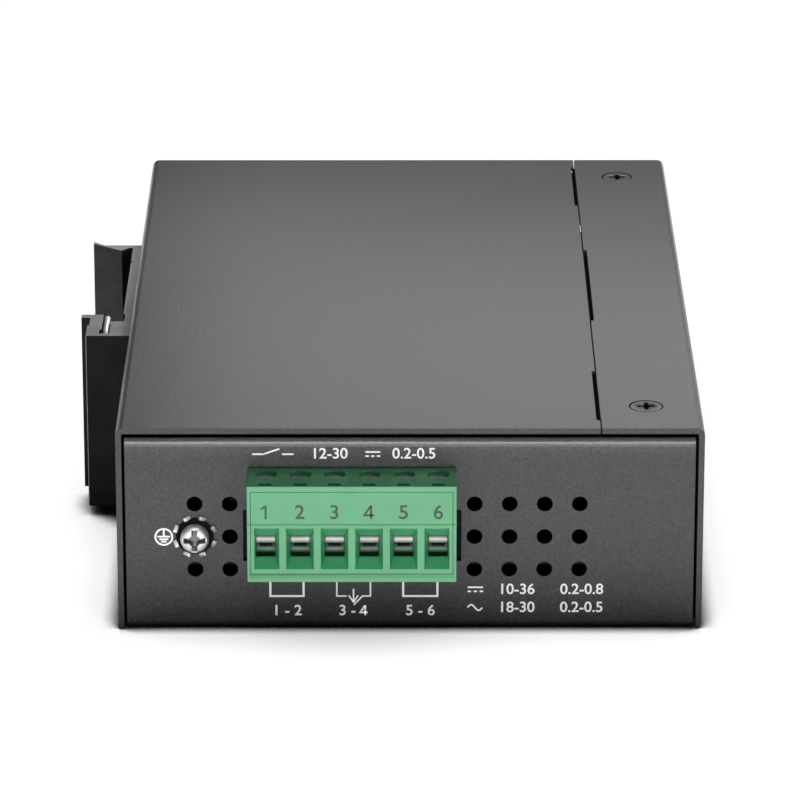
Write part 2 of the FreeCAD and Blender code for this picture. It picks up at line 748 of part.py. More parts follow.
def make_ground_terminal():
    """Pan-head ground screw on a washer with external teeth."""
    washer = Piece("ground_washer")
    corners = []
    for step in range(4 * WASHER_TEETH):
        turn = 2 * math.pi * (step + 1.5) / (4 * WASHER_TEETH)
        reach = "washer_tip_radius" if step % 4 < 2 else "washer_root_radius"
        along, up = math.cos(turn), math.sin(turn)
        corners.append((f"{GROUND_X} + {reach} * {along}", f"vent_height + {reach} * {up}"))
    hole = disc(GROUND_X, "vent_height", HOLE)
    seat = f"(-{PANEL_Y} - washer_thickness)"
    washer.add("XZ", [polygon(*corners), hole], seat, f"-{PANEL_Y}")

    screw = Piece("ground_screw")
    rim = f"({seat} - ground_rim_height)"
    screw.add("XZ", [disc(GROUND_X, "vent_height", "ground_head_radius")], rim, seat)
    dome = disc(GROUND_X, "vent_height", "ground_head_radius")
    screw.add("XZ", [dome], f"{rim} - ground_dome_height", rim, -45)
    screw.add("XZ", [disc(GROUND_X, "vent_height", "screw_radius")], seat, f"{seat} + ground_screw_length")


def make_rail_clip():
    """Extruded clip profile: slotted hook for the wire spring at one end, sloped hook at the other."""
    clip = Piece("rail_clip")

    def point(out, along):
        return (f"-{HALF_X} - ({out})", along)

    lip_end = "(clip_start + clip_arm_length)"
    lip_start = f"({lip_end} - clip_lip_thickness)"
    floor = "(clip_start + clip_slot_floor)"
    pocket_end = f"({floor} + clip_pocket_depth)"
    step = "(clip_start + clip_step_at)"
    relief_end = f"({CLIP_BLOCK_BACK} + clip_relief_length)"
    groove = f"({RAIL_END} - clip_groove_back)"
    nose = "(clip_base + rail_slot)"
    hook_front = f"({RAIL_END} - rail_grip + hook_rise)"
    outline = polygon(
        point("0", CLIP_FRONT),
        point("clip_reach", CLIP_FRONT),
        point("clip_reach", step),
        point("clip_reach - clip_step", f"{step} + clip_step"),
        point("clip_reach - clip_step", lip_start),
        point("clip_lip_reach", lip_start),
        point("clip_lip_reach", lip_end),
        point(CLIP_SLOT_OUTER, lip_end),
        point(CLIP_SLOT_OUTER, pocket_end),
        point(f"{CLIP_SLOT_OUTER} + clip_pocket_step", f"{pocket_end} - clip_pocket_step"),
        point(f"{CLIP_SLOT_OUTER} + clip_pocket_step", floor),
        point("clip_slot_inner", floor),
        point("clip_slot_inner", CLIP_BLOCK_BACK),
        point("clip_base - clip_relief", CLIP_BLOCK_BACK),
        point("clip_base - clip_relief", relief_end),
        point("clip_base", relief_end),
        point("clip_base", f"{groove} - clip_groove"),
        point("clip_base - clip_groove", groove),
        point("clip_base", f"{groove} + clip_groove"),
        point("clip_base", RAIL_END),
        point("clip_base + hook_root", RAIL_END),
        point(nose, f"{RAIL_END} - rail_grip"),
        point("clip_lip_reach", hook_front),
        point("clip_lip_reach", f"{hook_front} + hook_tip"),
        point("hook_shoulder", f"{RAIL_END} + hook_back"),
        point("0", f"{RAIL_END} + hook_back"),
    )
    clip.add("XY", [outline], CLIP_LOW, CLIP_HIGH)
    outer = f"-{HALF_X} - clip_base"
    places = clip_screw_places()
    cone = f"(csk_radius + csk_clearance - {HOLE})"
    clip.cut("YZ", discs(places, HOLE), f"{outer} - clip_base", f"-{HALF_X} + clip_base")
    clip.cut("YZ", discs(places, "csk_radius + csk_clearance"), outer, f"{outer} + {cone}", -45)


def make_rail_spring():
    """Bent round wire: a run along the slot floor with an arm turned out at each end."""
    radius = size("spring_wire") / 2
    bend = size("spring_bend")
    across = -size("case_depth") / 2 - size("clip_slot_inner") - size("spring_side_gap") - radius
    floor = size("clip_start") + size("clip_slot_floor") + radius + size("spring_seat_gap")
    tip = size("clip_start") + size("clip_arm_length") - size("spring_end_gap")
    low = size("clip_margin") + radius + size("spring_drop")
    high = size("case_height") - low

    def at(along, height):
        return FreeCAD.Vector(across, along, height)

    def corner(height, inward):
        middle = at(floor + bend, height + inward * bend)
        ease = bend * math.sqrt(0.5)
        half_way = middle + FreeCAD.Vector(0, -ease, -inward * ease)
        return at(floor + bend, height), half_way, at(floor, height + inward * bend)

    top_arm, top_mid, top_run = corner(high, -1)
    low_arm, low_mid, low_run = corner(low, 1)
    path = Part.Wire([
        Part.LineSegment(at(tip, high), top_arm).toShape(),
        Part.Arc(top_arm, top_mid, top_run).toShape(),
        Part.LineSegment(top_run, low_run).toShape(),
        Part.Arc(low_run, low_mid, low_arm).toShape(),
        Part.LineSegment(low_arm, at(tip, low)).toShape(),
    ])
    section = Part.Wire([Part.Circle(at(tip, high), FreeCAD.Vector(0, 1, 0), radius).toShape()])
    wire = DOC.addObject("Part::Feature", "rail_spring")
    wire.Label = "rail_spring"
    wire.Shape = path.makePipeShell([section], True, False)
    PIECES["rail_spring"] = wire


def make_board():
    """Circuit board on four clinched standoffs."""
    places = standoff_places()
    board = Piece("circuit_board")
    end = f"({PANEL_IN} - board_end_gap)"
    plate = rect(BOARD_REAR, f"-{end}", f"{WALL_X} - board_margin", end)
    pins = [
        block(pole_x(pole), f"{HEADER_BACK} + pin_leg_gap + pin_width / 2",
              "(pin_width / 2 + pin_hole_gap)", "(pin_width / 2 + pin_hole_gap)")
        for pole in range(POLES)
    ]
    board.add("XY", [plate] + discs(places, HOLE) + pins, BOARD_LOW, BOARD_TOP)

    standoffs = Piece("standoffs")
    standoffs.add("XY", discs(places, "standoff_radius"), "sheet", BOARD_LOW)
    feet = discs(places, "standoff_foot_radius - standoff_foot_gap")
    standoffs.add("XY", feet, "standoff_foot_gap", "sheet")
    bore = f"{BOARD_TOP} - board_screw_length"
    threads = discs(places, "screw_radius + nut_clearance")
    standoffs.cut("XY", threads, f"{bore} - sheet", f"{BOARD_LOW} + sheet")

    screws = Piece("board_screws")
    screws.add("XY", discs(places, "board_screw_head"), BOARD_TOP, f"{BOARD_TOP} + board_screw_head_height")
    screws.add("XY", discs(places, "screw_radius"), bore, BOARD_TOP)


def make_components():
    """Blocks of the board's power, relay and network components."""
    datums = {"header": HEADER_BACK, "middle": "0"}
    for name, (datum, *_) in COMPONENTS.items():
        body = Piece(name)
        outline = block(
            f"{BOARD_REAR} + {name}_x", f"{datums[datum]} + {name}_y", f"{name}_long / 2", f"{name}_wide / 2"
        )
        body.add("XY", [outline], BOARD_TOP, f"{BOARD_TOP} + {name}_tall")
    cans = Piece("bulk_capacitors")
    middle = f"{HEADER_BACK} + alarm_relay_y"
    places = [(f"{BOARD_REAR} + capacitor_x + {step} * capacitor_spacing", middle) for step in (-1, 0, 1)]
    cans.add("XY", discs(places, "capacitor_radius"), BOARD_TOP, f"{BOARD_TOP} + capacitor_height")


def make_ports():
    """RJ45 jack, SFP cage and LED cluster at the port face."""
    jack = Piece("rj45_jack")
    back = f"({PORT_FACE} - jack_depth)"
    mouth_low = f"({BOARD_TOP} + jack_mouth_low)"
    latch_low = f"({mouth_low} - jack_latch_height)"
    jack_low = f"({latch_low} - jack_key_height)"
    mouth_high = f"({mouth_low} + jack_mouth_height)"
    jack_top = f"({BOARD_TOP} + jack_height)"
    outline = rect("jack_y - jack_width / 2", BOARD_TOP, "jack_y + jack_width / 2", jack_top)
    jack.add("YZ", [outline], back, PORT_FACE)
    corners = []
    for sign in ("-", "+"):
        side = [
            (f"jack_y {sign} jack_mouth_width / 2", mouth_high),
            (f"jack_y {sign} jack_mouth_width / 2", mouth_low),
            (f"jack_y {sign} jack_latch_width / 2", mouth_low),
            (f"jack_y {sign} jack_latch_width / 2", latch_low),
            (f"jack_y {sign} jack_key_width / 2", latch_low),
            (f"jack_y {sign} jack_key_width / 2", jack_low),
        ]
        corners += side if sign == "-" else side[::-1]
    floor = f"({PORT_FACE} - jack_mouth_depth)"
    jack.cut("YZ", [polygon(*corners)], floor, f"{PORT_FACE} + port_proud")

    contacts = Piece("rj45_contacts")
    middle = (JACK_CONTACTS - 1) / 2
    wires = [
        block(f"({floor} + contact_length / 2)", f"jack_y + {index - middle} * contact_pitch",
              "contact_length / 2", "contact_width / 2")
        for index in range(JACK_CONTACTS)
    ]
    contacts.add("XY", wires, f"{mouth_high} - contact_height", mouth_high)

    cage = Piece("sfp_cage")
    cage_back = f"({PORT_FACE} - sfp_depth)"
    tube = block("sfp_y", f"({BOARD_TOP} + sfp_height / 2)", "sfp_width / 2", "sfp_height / 2")
    bore = block("sfp_y", f"({BOARD_TOP} + sfp_height / 2)",
                 "(sfp_width / 2 - sfp_wall)", "(sfp_height / 2 - sfp_wall)")
    cage.add("YZ", [tube], cage_back, PORT_FACE)
    cage.cut("YZ", [bore], f"{cage_back} + sfp_wall", f"{PORT_FACE} + sfp_wall")

    socket = Piece("sfp_connector")
    front = f"({PORT_FACE} - sfp_plug_depth)"
    middle_z = f"({BOARD_TOP} + sfp_height / 2)"
    half = "(sfp_width / 2 - 2 * sfp_wall)"
    low = f"{BOARD_TOP} + sfp_wall"
    shell = rect(f"sfp_y - {half}", low, f"sfp_y + {half}", f"{middle_z} + 2 * sfp_slot_height")
    socket.add("YZ", [shell], f"{cage_back} + sfp_wall", front)
    slot = block("sfp_y", middle_z, "sfp_slot_width / 2", "sfp_slot_height / 2")
    socket.cut("YZ", [slot], f"{front} - sfp_slot_depth", f"{front} + sfp_wall")

    holder = Piece("led_holder")
    holder_front = f"({WALL_X} - led_holder_gap)"
    reach = f"({(LED_COLUMNS - 1) / 2} * led_pitch + led_holder_margin)"
    top = f"{BOARD_TOP} + led_low + {LED_ROWS - 1} * led_row_pitch + led_holder_margin"
    shape = rect(f"led_y - {reach}", BOARD_TOP, f"led_y + {reach}", top)
    holder.add("YZ", [shape], f"{holder_front} - led_holder_depth", holder_front)
    lenses = Piece("led_lenses")
    lenses.add("YZ", discs(led_places(), "led_radius"), holder_front, f"{HALF_X} + led_proud")


def make_header():
    """Open-ended header shroud behind the panel, with pins bent down through the board."""
    header = Piece("terminal_header")
    shroud = block("plug_x", HEADER_MID, HEADER_HALF, "header_height / 2")
    header.add("XZ", [shroud], HEADER_FRONT, HEADER_BACK)
    socket = rect(f"plug_x - {SOCKET_HALF}", SOCKET_LOW, f"plug_x + {SOCKET_HALF}", SOCKET_HIGH)
    header.cut("XZ", [socket], f"{HEADER_FRONT} - header_gap", f"{HEADER_FRONT} + socket_depth")
    sections = [block(pole_x(pole), HEADER_MID, "pin_width / 2", "pin_width / 2") for pole in range(POLES)]
    header.cut("XZ", sections, f"{HEADER_FRONT} + socket_depth - header_gap", f"{HEADER_BACK} + header_gap")

    pins = Piece("header_pins")
    leg = f"({HEADER_BACK} + pin_leg_gap + pin_width / 2)"
    pins.add("XZ", sections, f"{HEADER_FRONT} + pin_start", f"{leg} + pin_width / 2")
    legs = [block(pole_x(pole), leg, "pin_width / 2", "pin_width / 2") for pole in range(POLES)]
    pins.add("XY", legs, f"{BOARD_LOW} - pin_foot", f"{HEADER_MID} + pin_width / 2")


def make_plug():
    """Plug housing with clamp chambers and contact channels, and the front insert with its funnels."""
    housing = Piece("plug_housing")
    outer = rect(f"plug_x - {PLUG_HALF}", PLUG_LOW, f"plug_x + {PLUG_HALF}", PLUG_HIGH)
    housing.add("XZ", [outer], PLUG_FRONT, PLUG_BACK)
    neck = rect(f"plug_x - {NECK_HALF}", NECK_LOW, f"plug_x + {NECK_HALF}", NECK_HIGH)
    housing.add("XZ", [neck], f"{PLUG_BACK} - plug_gap", NECK_BACK)
    poles = range(POLES)
    seat = rect(f"plug_x - {FACE_HALF}", FACE_LOW, f"plug_x + {FACE_HALF}", FACE_HIGH)
    housing.cut("XZ", [seat], f"{PLUG_FRONT} - face_depth", FACE_BACK)
    chambers = [
        rect(f"{pole_x(pole)} - {CHAMBER_HALF}", CHAMBER_LOW,
             f"{pole_x(pole)} + {CHAMBER_HALF}", CHAMBER_HIGH)
        for pole in poles
    ]
    housing.cut("XZ", chambers, f"{FACE_BACK} - face_fit", CHAMBER_BACK)
    places = [(pole_x(pole), CLAMP_SCREW_Y) for pole in poles]
    shoulder = f"({HEAD_LOW} - clamp_bore_gap)"
    head_bore = "(clamp_head_radius + clamp_bore_gap)"
    flare = math.degrees(math.atan2(
        size("funnel_radius") - size("clamp_head_radius") - size("clamp_bore_gap"), size("funnel_depth")
    ))
    shanks = discs(places, "clamp_screw_radius + clamp_bore_gap")
    housing.cut("XY", shanks, f"{CHAMBER_HIGH} - cage_gap", HEAD_LOW)
    housing.cut("XY", discs(places, head_bore), shoulder, f"{PLUG_HIGH} + funnel_depth")
    housing.cut("XY", discs(places, head_bore), f"{PLUG_HIGH} - funnel_depth", PLUG_HIGH, flare)
    channels = [
        rect(f"{pole_x(pole)} - bar_half - channel_gap", f"{CLAMP_Z} - leaf_drop - channel_gap",
             f"{pole_x(pole)} + bar_half + channel_gap", f"{BAR_HIGH} + channel_gap")
        for pole in poles
    ]
    channel_end = f"({NECK_BACK} - bar_end_gap + channel_gap)"
    housing.cut("XZ", channels, f"{CHAMBER_BACK} - cage_gap", channel_end)
    entries = [
        block(pole_x(pole), HEADER_MID, "(pin_width / 2 + pin_hole_gap)", "(pin_width / 2 + pin_hole_gap)")
        for pole in poles
    ]
    housing.cut("XZ", entries, f"{channel_end} - channel_gap", f"{NECK_BACK} + neck_gap")
    keys = [
        rect(f"{pole_x(pole)} - key_half", f"{PLUG_FRONT} + key_start",
             f"{pole_x(pole)} + key_half", f"{PLUG_FRONT} + key_start + key_length")
        for pole in poles
    ]
    housing.cut("XY", keys, f"{PLUG_HIGH} - key_depth", f"{PLUG_HIGH} + key_depth")
    line_z = f"({CLAMP_Z} + face_line_height)"
    line = rect(f"plug_x - {PLUG_HALF} - face_line", f"{line_z} - face_line / 2",
                f"plug_x + {PLUG_HALF} + face_line", f"{line_z} + face_line / 2")
    housing.cut("XZ", [line], f"{PLUG_FRONT} - face_line", f"{PLUG_FRONT} + face_line")

    face = Piece("plug_face")
    half = f"({FACE_HALF} - face_fit)"
    plate = rect(f"plug_x - {half}", f"{FACE_LOW} + face_fit", f"plug_x + {half}", f"{FACE_HIGH} - face_fit")
    face.add("XZ", [plate], PLUG_FRONT, f"{FACE_BACK} - face_fit")
    for pole in poles:
        left = "mouth_half_end" if pole == 0 else "mouth_half"
        right = "mouth_half_end" if pole == POLES - 1 else "mouth_half"
        mouth = rect(f"{pole_x(pole)} - {left}", f"{CLAMP_Z} - mouth_below",
                     f"{pole_x(pole)} + {right}", f"{CLAMP_Z} + mouth_above")
        throat = rect(f"{pole_x(pole)} - throat_half", f"{CLAMP_Z} - throat_below",
                      f"{pole_x(pole)} + throat_half", f"{CLAMP_Z} + throat_above")
        face.funnel(mouth, PLUG_FRONT, throat, f"{FACE_BACK} - face_fit")
    face.cut("XZ", [line], f"{PLUG_FRONT} - face_line", f"{PLUG_FRONT} + face_line")


def make_contacts():
    """Contact strips: a bar with a rolled nose in the chamber and two leaves round each header pin."""
    strips = Piece("contact_strips")
    poles = range(POLES)
    nose_y = f"({PLUG_FRONT} + nose_at)"
    end = f"({NECK_BACK} - bar_end_gap)"
    bars = [rect(f"{pole_x(p)} - bar_half", CLAMP_Z, f"{pole_x(p)} + bar_half", BAR_HIGH) for p in poles]
    strips.add("XZ", bars, nose_y, end)
    leaves = []
    for pole in poles:
        for side in (-1, 1):
            inner = f"{pole_x(pole)} + {side} * (pin_width / 2 + leaf_gap)"
            outer = f"{pole_x(pole)} + {side} * (pin_width / 2 + leaf_gap + leaf_thickness)"
            low_high = (f"{CLAMP_Z} - leaf_drop", f"{CLAMP_Z} + bar_thickness / 2")
            ends = (inner, outer) if side > 0 else (outer, inner)
            leaves.append(rect(ends[0], low_high[0], ends[1], low_high[1]))
    strips.add("XZ", leaves, f"{CHAMBER_BACK} + leaf_thickness", end)
    for pole in poles:
        roll = disc(nose_y, f"{CLAMP_Z} + nose_radius", "nose_radius")
        strips.add("YZ", [roll], f"{pole_x(pole)} - bar_half", f"{pole_x(pole)} + bar_half")


def make_clamp(pole):
    """One slotted clamp screw, which turns, and the cage that it raises."""
    middle = pole_x(pole)
    screw = Piece(f"clamp_screw_{pole + 1}")
    tip_high = f"({NOSE_HIGH} + cage_slit_gap)"
    tip = disc(middle, CLAMP_SCREW_Y, "clamp_tip_radius")
    screw.add("XY", [tip], f"{BAR_HIGH} + cage_slit_gap", tip_high)
    screw.add("XY", [disc(middle, CLAMP_SCREW_Y, "clamp_screw_radius")], tip_high, HEAD_LOW)
    screw.add("XY", [disc(middle, CLAMP_SCREW_Y, "clamp_head_radius")], HEAD_LOW, HEAD_HIGH)
    slot = block(middle, CLAMP_SCREW_Y, "2 * clamp_head_radius", "clamp_slot_half")
    screw.cut("XY", [slot], f"{HEAD_HIGH} - clamp_slot_depth", f"{HEAD_HIGH} + clamp_slot_depth")

    cage = Piece(f"clamp_cage_{pole + 1}")
    inner_half = "(cage_half - cage_wall)"
    frame = rect(f"{middle} - cage_half", CAGE_LOW, f"{middle} + cage_half", CAGE_HIGH)
    window = rect(f"{middle} - {inner_half}", JAW_Z, f"{middle} + {inner_half}", CAGE_ROOF)
    front = f"({CLAMP_SCREW_Y} - cage_half_depth)"
    back = f"({CLAMP_SCREW_Y} + cage_half_depth)"
    cage.add("XZ", [frame, window], front, back)
    roll = disc(f"{PLUG_FRONT} + nose_at", f"{JAW_Z} - nose_radius", "nose_radius")
    cage.add("YZ", [roll], f"{middle} - {inner_half}", f"{middle} + {inner_half}")
    trough = rect(f"{middle} - cage_trough_half", f"{JAW_Z} - cage_trough",
                  f"{middle} + cage_trough_half", f"{JAW_Z} + cage_slit_gap")
    cage.cut("XZ", [trough], FACE_BACK, back)
    bore = disc(middle, CLAMP_SCREW_Y, "clamp_screw_radius + clamp_bore_gap")
    cage.cut("XY", [bore], f"{CAGE_ROOF} - cage_gap", f"{CAGE_HIGH} + cage_gap")


def check_document():
    """Stop if any feature failed, any cut removed nothing or any piece is not a valid solid."""
    for item in DOC.Objects:
        if {"Invalid", "Error"} & set(item.State):
            raise RuntimeError(f"{item.Label} failed: {item.State}")
        if item.TypeId in ("PartDesign::Pocket", "PartDesign::SubtractiveLoft"):
            if item.Shape.Volume > item.BaseFeature.Shape.Volume - 1e-6:
                raise RuntimeError(f"{item.Label} cuts nothing")
    for name, piece in PIECES.items():
        if piece.Shape.isNull() or not piece.Shape.isValid() or not piece.Shape.Solids:
            raise RuntimeError(f"{name} is not a valid solid")


def export():
    """Write each sub-part to its own file."""
    os.makedirs("parts", exist_ok=True)
    for name, piece in PIECES.items():
        piece.Shape.exportStep(f"parts/{name}.step")


def main():
    fill_sheet()
    make_base_chassis()
    make_main_cover()
    make_front_cap()
    make_case_fasteners()
    make_ground_terminal()
    make_rail_clip()
    make_rail_spring()
    make_board()
    make_components()
    make_ports()
    make_header()
    make_plug()
    make_contacts()
    for pole in range(POLES):
        make_clamp(pole)
    DOC.recompute()
    check_document()
    export()


main()
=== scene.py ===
"""Studio picture of a slim rail-mounted media converter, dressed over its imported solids.

Everything is in metres in the part's own frame: +Z up, the terminal end towards -Y, the rail clip on -X
and the port face on +X. Sizes in the classes below are in millimetres where their names say so.
"""

import logging
import math
from dataclasses import dataclass, field
from enum import Enum
from typing import Sequence

import bmesh
import bpy
from bmesh.types import BMesh
from bpy.types import ID, Material, Mesh, Node, NodeSocket, NodeTree, Object
from mathutils import Matrix, Vector


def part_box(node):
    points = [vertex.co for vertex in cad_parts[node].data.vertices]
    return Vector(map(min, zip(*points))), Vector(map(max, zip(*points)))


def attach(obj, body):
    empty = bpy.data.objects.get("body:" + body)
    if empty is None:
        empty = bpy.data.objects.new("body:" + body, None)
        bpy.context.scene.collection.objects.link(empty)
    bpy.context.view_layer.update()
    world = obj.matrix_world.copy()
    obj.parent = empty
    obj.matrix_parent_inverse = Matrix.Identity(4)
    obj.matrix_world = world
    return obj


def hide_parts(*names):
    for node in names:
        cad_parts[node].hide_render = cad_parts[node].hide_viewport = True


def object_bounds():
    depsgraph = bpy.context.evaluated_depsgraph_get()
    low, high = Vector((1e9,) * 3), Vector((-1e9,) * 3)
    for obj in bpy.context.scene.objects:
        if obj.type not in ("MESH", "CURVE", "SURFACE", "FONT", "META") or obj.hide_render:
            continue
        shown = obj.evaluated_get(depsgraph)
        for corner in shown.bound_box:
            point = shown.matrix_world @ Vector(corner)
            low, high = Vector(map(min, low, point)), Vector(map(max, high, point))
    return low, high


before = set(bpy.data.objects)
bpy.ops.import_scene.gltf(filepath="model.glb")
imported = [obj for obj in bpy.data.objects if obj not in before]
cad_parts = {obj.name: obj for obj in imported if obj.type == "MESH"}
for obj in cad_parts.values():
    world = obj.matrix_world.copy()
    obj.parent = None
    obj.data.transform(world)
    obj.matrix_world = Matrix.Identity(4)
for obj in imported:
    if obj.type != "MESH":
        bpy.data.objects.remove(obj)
CAD_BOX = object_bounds()

MM = 0.001
POLES = 6
WHITE = "#ffffff"
WELD_MM = 0.002
FLAT_DEG = 0.5
SMOOTH_DEG = 35.0
AXIS_GAP = 1e-7
BOX_SIDE_MM = 0.02
TONE_SPAN = (0.36, 0.64)
CLOUD_DETAIL = 3.0
LOG = logging.getLogger("converter")

Point = tuple[float, float]
Place = tuple[float, float, float]
Loop = list[Point]
Lines = Sequence[Sequence[Point]]

# Bold type closes the counter of a four, so it is drawn in strokes.
FIGURE_FOUR: Lines = (((0.1, 0.37), (0.1, -0.32)), ((0.08, 0.34), (-0.22, -0.12), (0.25, -0.12)))


class Body(Enum):
    """Bodies that a piece can ride on."""

    CASE = "case"
    PLUG = "plug"


def linear(colour: str) -> tuple[float, float, float, float]:
    """Turn an sRGB hex colour into linear RGBA.

    Args:
        colour: six hex digits with a leading hash.

    Returns:
        The linear red, green, blue and an alpha of one.
    """
    channels = [int(colour[at:at + 2], 16) / 255 for at in (1, 3, 5)]
    red, green, blue = [c / 12.92 if c <= 0.04045 else ((c + 0.055) / 1.055) ** 2.4 for c in channels]
    return red, green, blue, 1.0


def add_node(tree: NodeTree, kind: str, links: dict | None = None, **settings: object) -> Node:
    """Add a node with its settings and links.

    Args:
        tree: the node tree that gets the node.
        kind: the node's type name.
        links: socket name or number to a value, or to the socket that feeds it.
        settings: properties of the node itself.

    Returns:
        The new node.
    """
    node = tree.nodes.new(kind)
    for name, value in settings.items():
        setattr(node, name, value)
    for socket, value in (links or {}).items():
        target = node.inputs[socket]
        if isinstance(value, NodeSocket):
            tree.links.new(value, target)
        else:
            target.default_value = value
    return node


def remap(tree: NodeTree, value: NodeSocket, low: object, high: object,
          span: Point = (0.0, 1.0), smooth: bool = False) -> NodeSocket:
    """Map a value's span to another span.

    Args:
        tree: the node tree.
        value: the socket with the value.
        low: number or socket for the span's start.
        high: number or socket for its end.
        span: where the value starts and ends.
        smooth: whether the result eases in and out.

    Returns:
        The result's socket.
    """
    return add_node(tree, "ShaderNodeMapRange",
                    {"Value": value, "From Min": span[0], "From Max": span[1], "To Min": low, "To Max": high},
                    interpolation_type="SMOOTHSTEP" if smooth else "LINEAR").outputs["Result"]


def empty_tree(owner: ID) -> NodeTree:
    """Give a material or a world an empty node tree.

    Args:
        owner: the material or world.

    Returns:
        The tree.
    """
    owner.use_nodes = True
    owner.node_tree.nodes.clear()
    return owner.node_tree


@dataclass
class Skin:
    """A material's tree and shader while a finish is drawn into them."""

    tree: NodeTree
    shader: Node

    def set(self, values: dict[str, object]) -> None:
        """Set inputs of the shader by name."""
        for name, value in values.items():
            self.shader.inputs[name].default_value = value

    def feed(self, name: str, source: NodeSocket) -> None:
        """Link a socket to an input of the shader."""
        self.tree.links.new(source, self.shader.inputs[name])

    def noise(self, grain_mm: float, detail: float = 2.0, stretch: Place = (1.0, 1.0, 1.0)) -> NodeSocket:
        """Lay noise of a real grain size over the piece.

        Args:
            grain_mm: width of one grain in millimetres.
            detail: octaves of finer noise.
            stretch: how much longer than wide the grains are along each axis.

        Returns:
            The noise value's socket.
        """
        place = add_node(self.tree, "ShaderNodeTexCoord")
        scale = tuple(1.0 / long for long in stretch)
        mapped = add_node(self.tree, "ShaderNodeMapping", {"Vector": place.outputs["Object"], "Scale": scale})
        grains = 1.0 / (grain_mm * MM)
        return add_node(self.tree, "ShaderNodeTexNoise", {"Vector": mapped.outputs["Vector"], "Scale": grains,
                                                          "Detail": detail}).outputs["Fac"]

    def tint(self, fac: NodeSocket, dark: str, light: str) -> None:
        """Vary the base colour between two tones.

        Args:
            fac: the pattern.
            dark: tone at the pattern's low end.
            light: tone at the pattern's high end.
        """
        ramp = add_node(self.tree, "ShaderNodeValToRGB", {"Fac": fac})
        for element, position, tone in zip(ramp.color_ramp.elements, TONE_SPAN, (dark, light)):
            element.position = position
            element.color = linear(tone)
        self.feed("Base Color", ramp.outputs["Color"])

    def bump(self, height: NodeSocket, depth_mm: float, share: float) -> None:
        """Raise the surface by a pattern.

        Args:
            height: the pattern.
            depth_mm: height of the relief in millimetres.
            share: share of the relief that shows.
        """
        depth = depth_mm * MM
        relief = add_node(self.tree, "ShaderNodeBump", {"Height": height, "Distance": depth, "Strength": share})
        self.feed("Normal", relief.outputs["Normal"])

    def wear(self, fac: NodeSocket, roughness: float, span: Point) -> None:
        """Vary the roughness about a value.

        Args:
            fac: the pattern.
            roughness: the value.
            span: what is added to it at the pattern's low and high ends.
        """
        low, high = (roughness + step for step in span)
        self.feed("Roughness", remap(self.tree, fac, low, high))


@dataclass(frozen=True)
class Finish:
    """A surface finish; each kind fills in its own shader."""

    name: str
    colour: str
    roughness: float = 0.5
    sheen: float = field(default=0.5, kw_only=True)

    def material(self) -> Material:
        """Make the finish's material on first use.

        Returns:
            The material.
        """
        made = bpy.data.materials.get(self.name)
        if made is None:
            made = bpy.data.materials.new(self.name)
            made.diffuse_color = linear(self.colour)
            tree = empty_tree(made)
            shader = add_node(tree, "ShaderNodeBsdfPrincipled",
                              {"Roughness": self.roughness, "Base Color": linear(self.colour),
                               "Specular IOR Level": self.sheen})
            add_node(tree, "ShaderNodeOutputMaterial", {"Surface": shader.outputs["BSDF"]})
            self.dress(Skin(tree, shader))
        return made

    def dress(self, skin: Skin) -> None:
        """Add the finish's own pattern to its shader."""


@dataclass(frozen=True)
class Textured(Finish):
    """A finish with a fine relief, and tones that follow it or clouds of their own."""

    light: str = WHITE
    grain_mm: float = 0.12
    stretch: Place = (1.0, 1.0, 1.0)
    detail: float = 2.0
    cloud_mm: float = 3.0
    relief_mm: float = 0.006
    relief_share: float = 0.5
    rough_span: Point = (-0.05, 0.08)
    metallic: float = 0.0
    dark: str = field(default="", kw_only=True)
    glow: float = field(default=0.0, kw_only=True)

    def dress(self, skin: Skin) -> None:
        """Add the relief, the tones and a painted glow.

        Args:
            skin: the material in the making.
        """
        skin.set({"Metallic": self.metallic, "Emission Color": linear(self.light), "Emission Strength": self.glow})
        grain = skin.noise(self.grain_mm, self.detail, self.stretch)
        skin.bump(grain, self.relief_mm, self.relief_share)
        tones = skin.noise(self.cloud_mm, CLOUD_DETAIL) if self.cloud_mm else grain
        skin.tint(tones, self.dark or self.colour, self.light)
        skin.wear(grain, self.roughness, self.rough_span)


@dataclass(frozen=True)
class PowderCoat(Textured):
    """Baked powder paint on steel: a fine orange-peel skin that breaks up the sheen and mottles it faintly."""

    light: str = "#48484a"
    grain_mm: float = 0.42
    cloud_mm: float = 0.0
    relief_mm: float = 0.055
    relief_share: float = 0.7
    rough_span: Point = (-0.06, 0.08)
    dark: str = field(default="#3a3a3b", kw_only=True)


@dataclass(frozen=True)
class AnodisedAlloy(Textured):
    """Black anodised aluminium extrusion: a dark satin skin with die lines along its length, Z."""

    stretch: Place = (1.0, 1.0, 60.0)


@dataclass(frozen=True)
class MouldedPlastic(Textured):
    """Moulded polyamide or ABS: a soft sheen over a fine spark-eroded texture, with an optional painted glow."""

    cloud_mm: float = 4.0
    rough_span: Point = (-0.05, 0.07)


@dataclass(frozen=True)
class PlatedMetal(Textured):
    """Zinc, tin or nickel plate: bright, with fine handling marks that soften the reflection."""

    grain_mm: float = 0.25
    detail: float = 4.0
    cloud_mm: float = 1.6
    relief_mm: float = 0.004
    relief_share: float = 0.4
    rough_span: Point = (-0.06, 0.1)
    metallic: float = 1.0


@dataclass(frozen=True)
class ScreenInk(Finish):
    """Screen-printed ink: flat and even, with slight pinholes of the mesh; white ink has a painted glow to stay bright
    in shade.
    """

    light: str = WHITE
    glow: float = 0.0
    mesh_mm: float = 0.25

    def dress(self, skin: Skin) -> None:
        """Add the painted glow and the faint unevenness of a pulled print."""
        skin.set({"Emission Color": linear(self.light), "Emission Strength": self.glow})
        skin.tint(skin.noise(self.mesh_mm), self.colour, self.light)


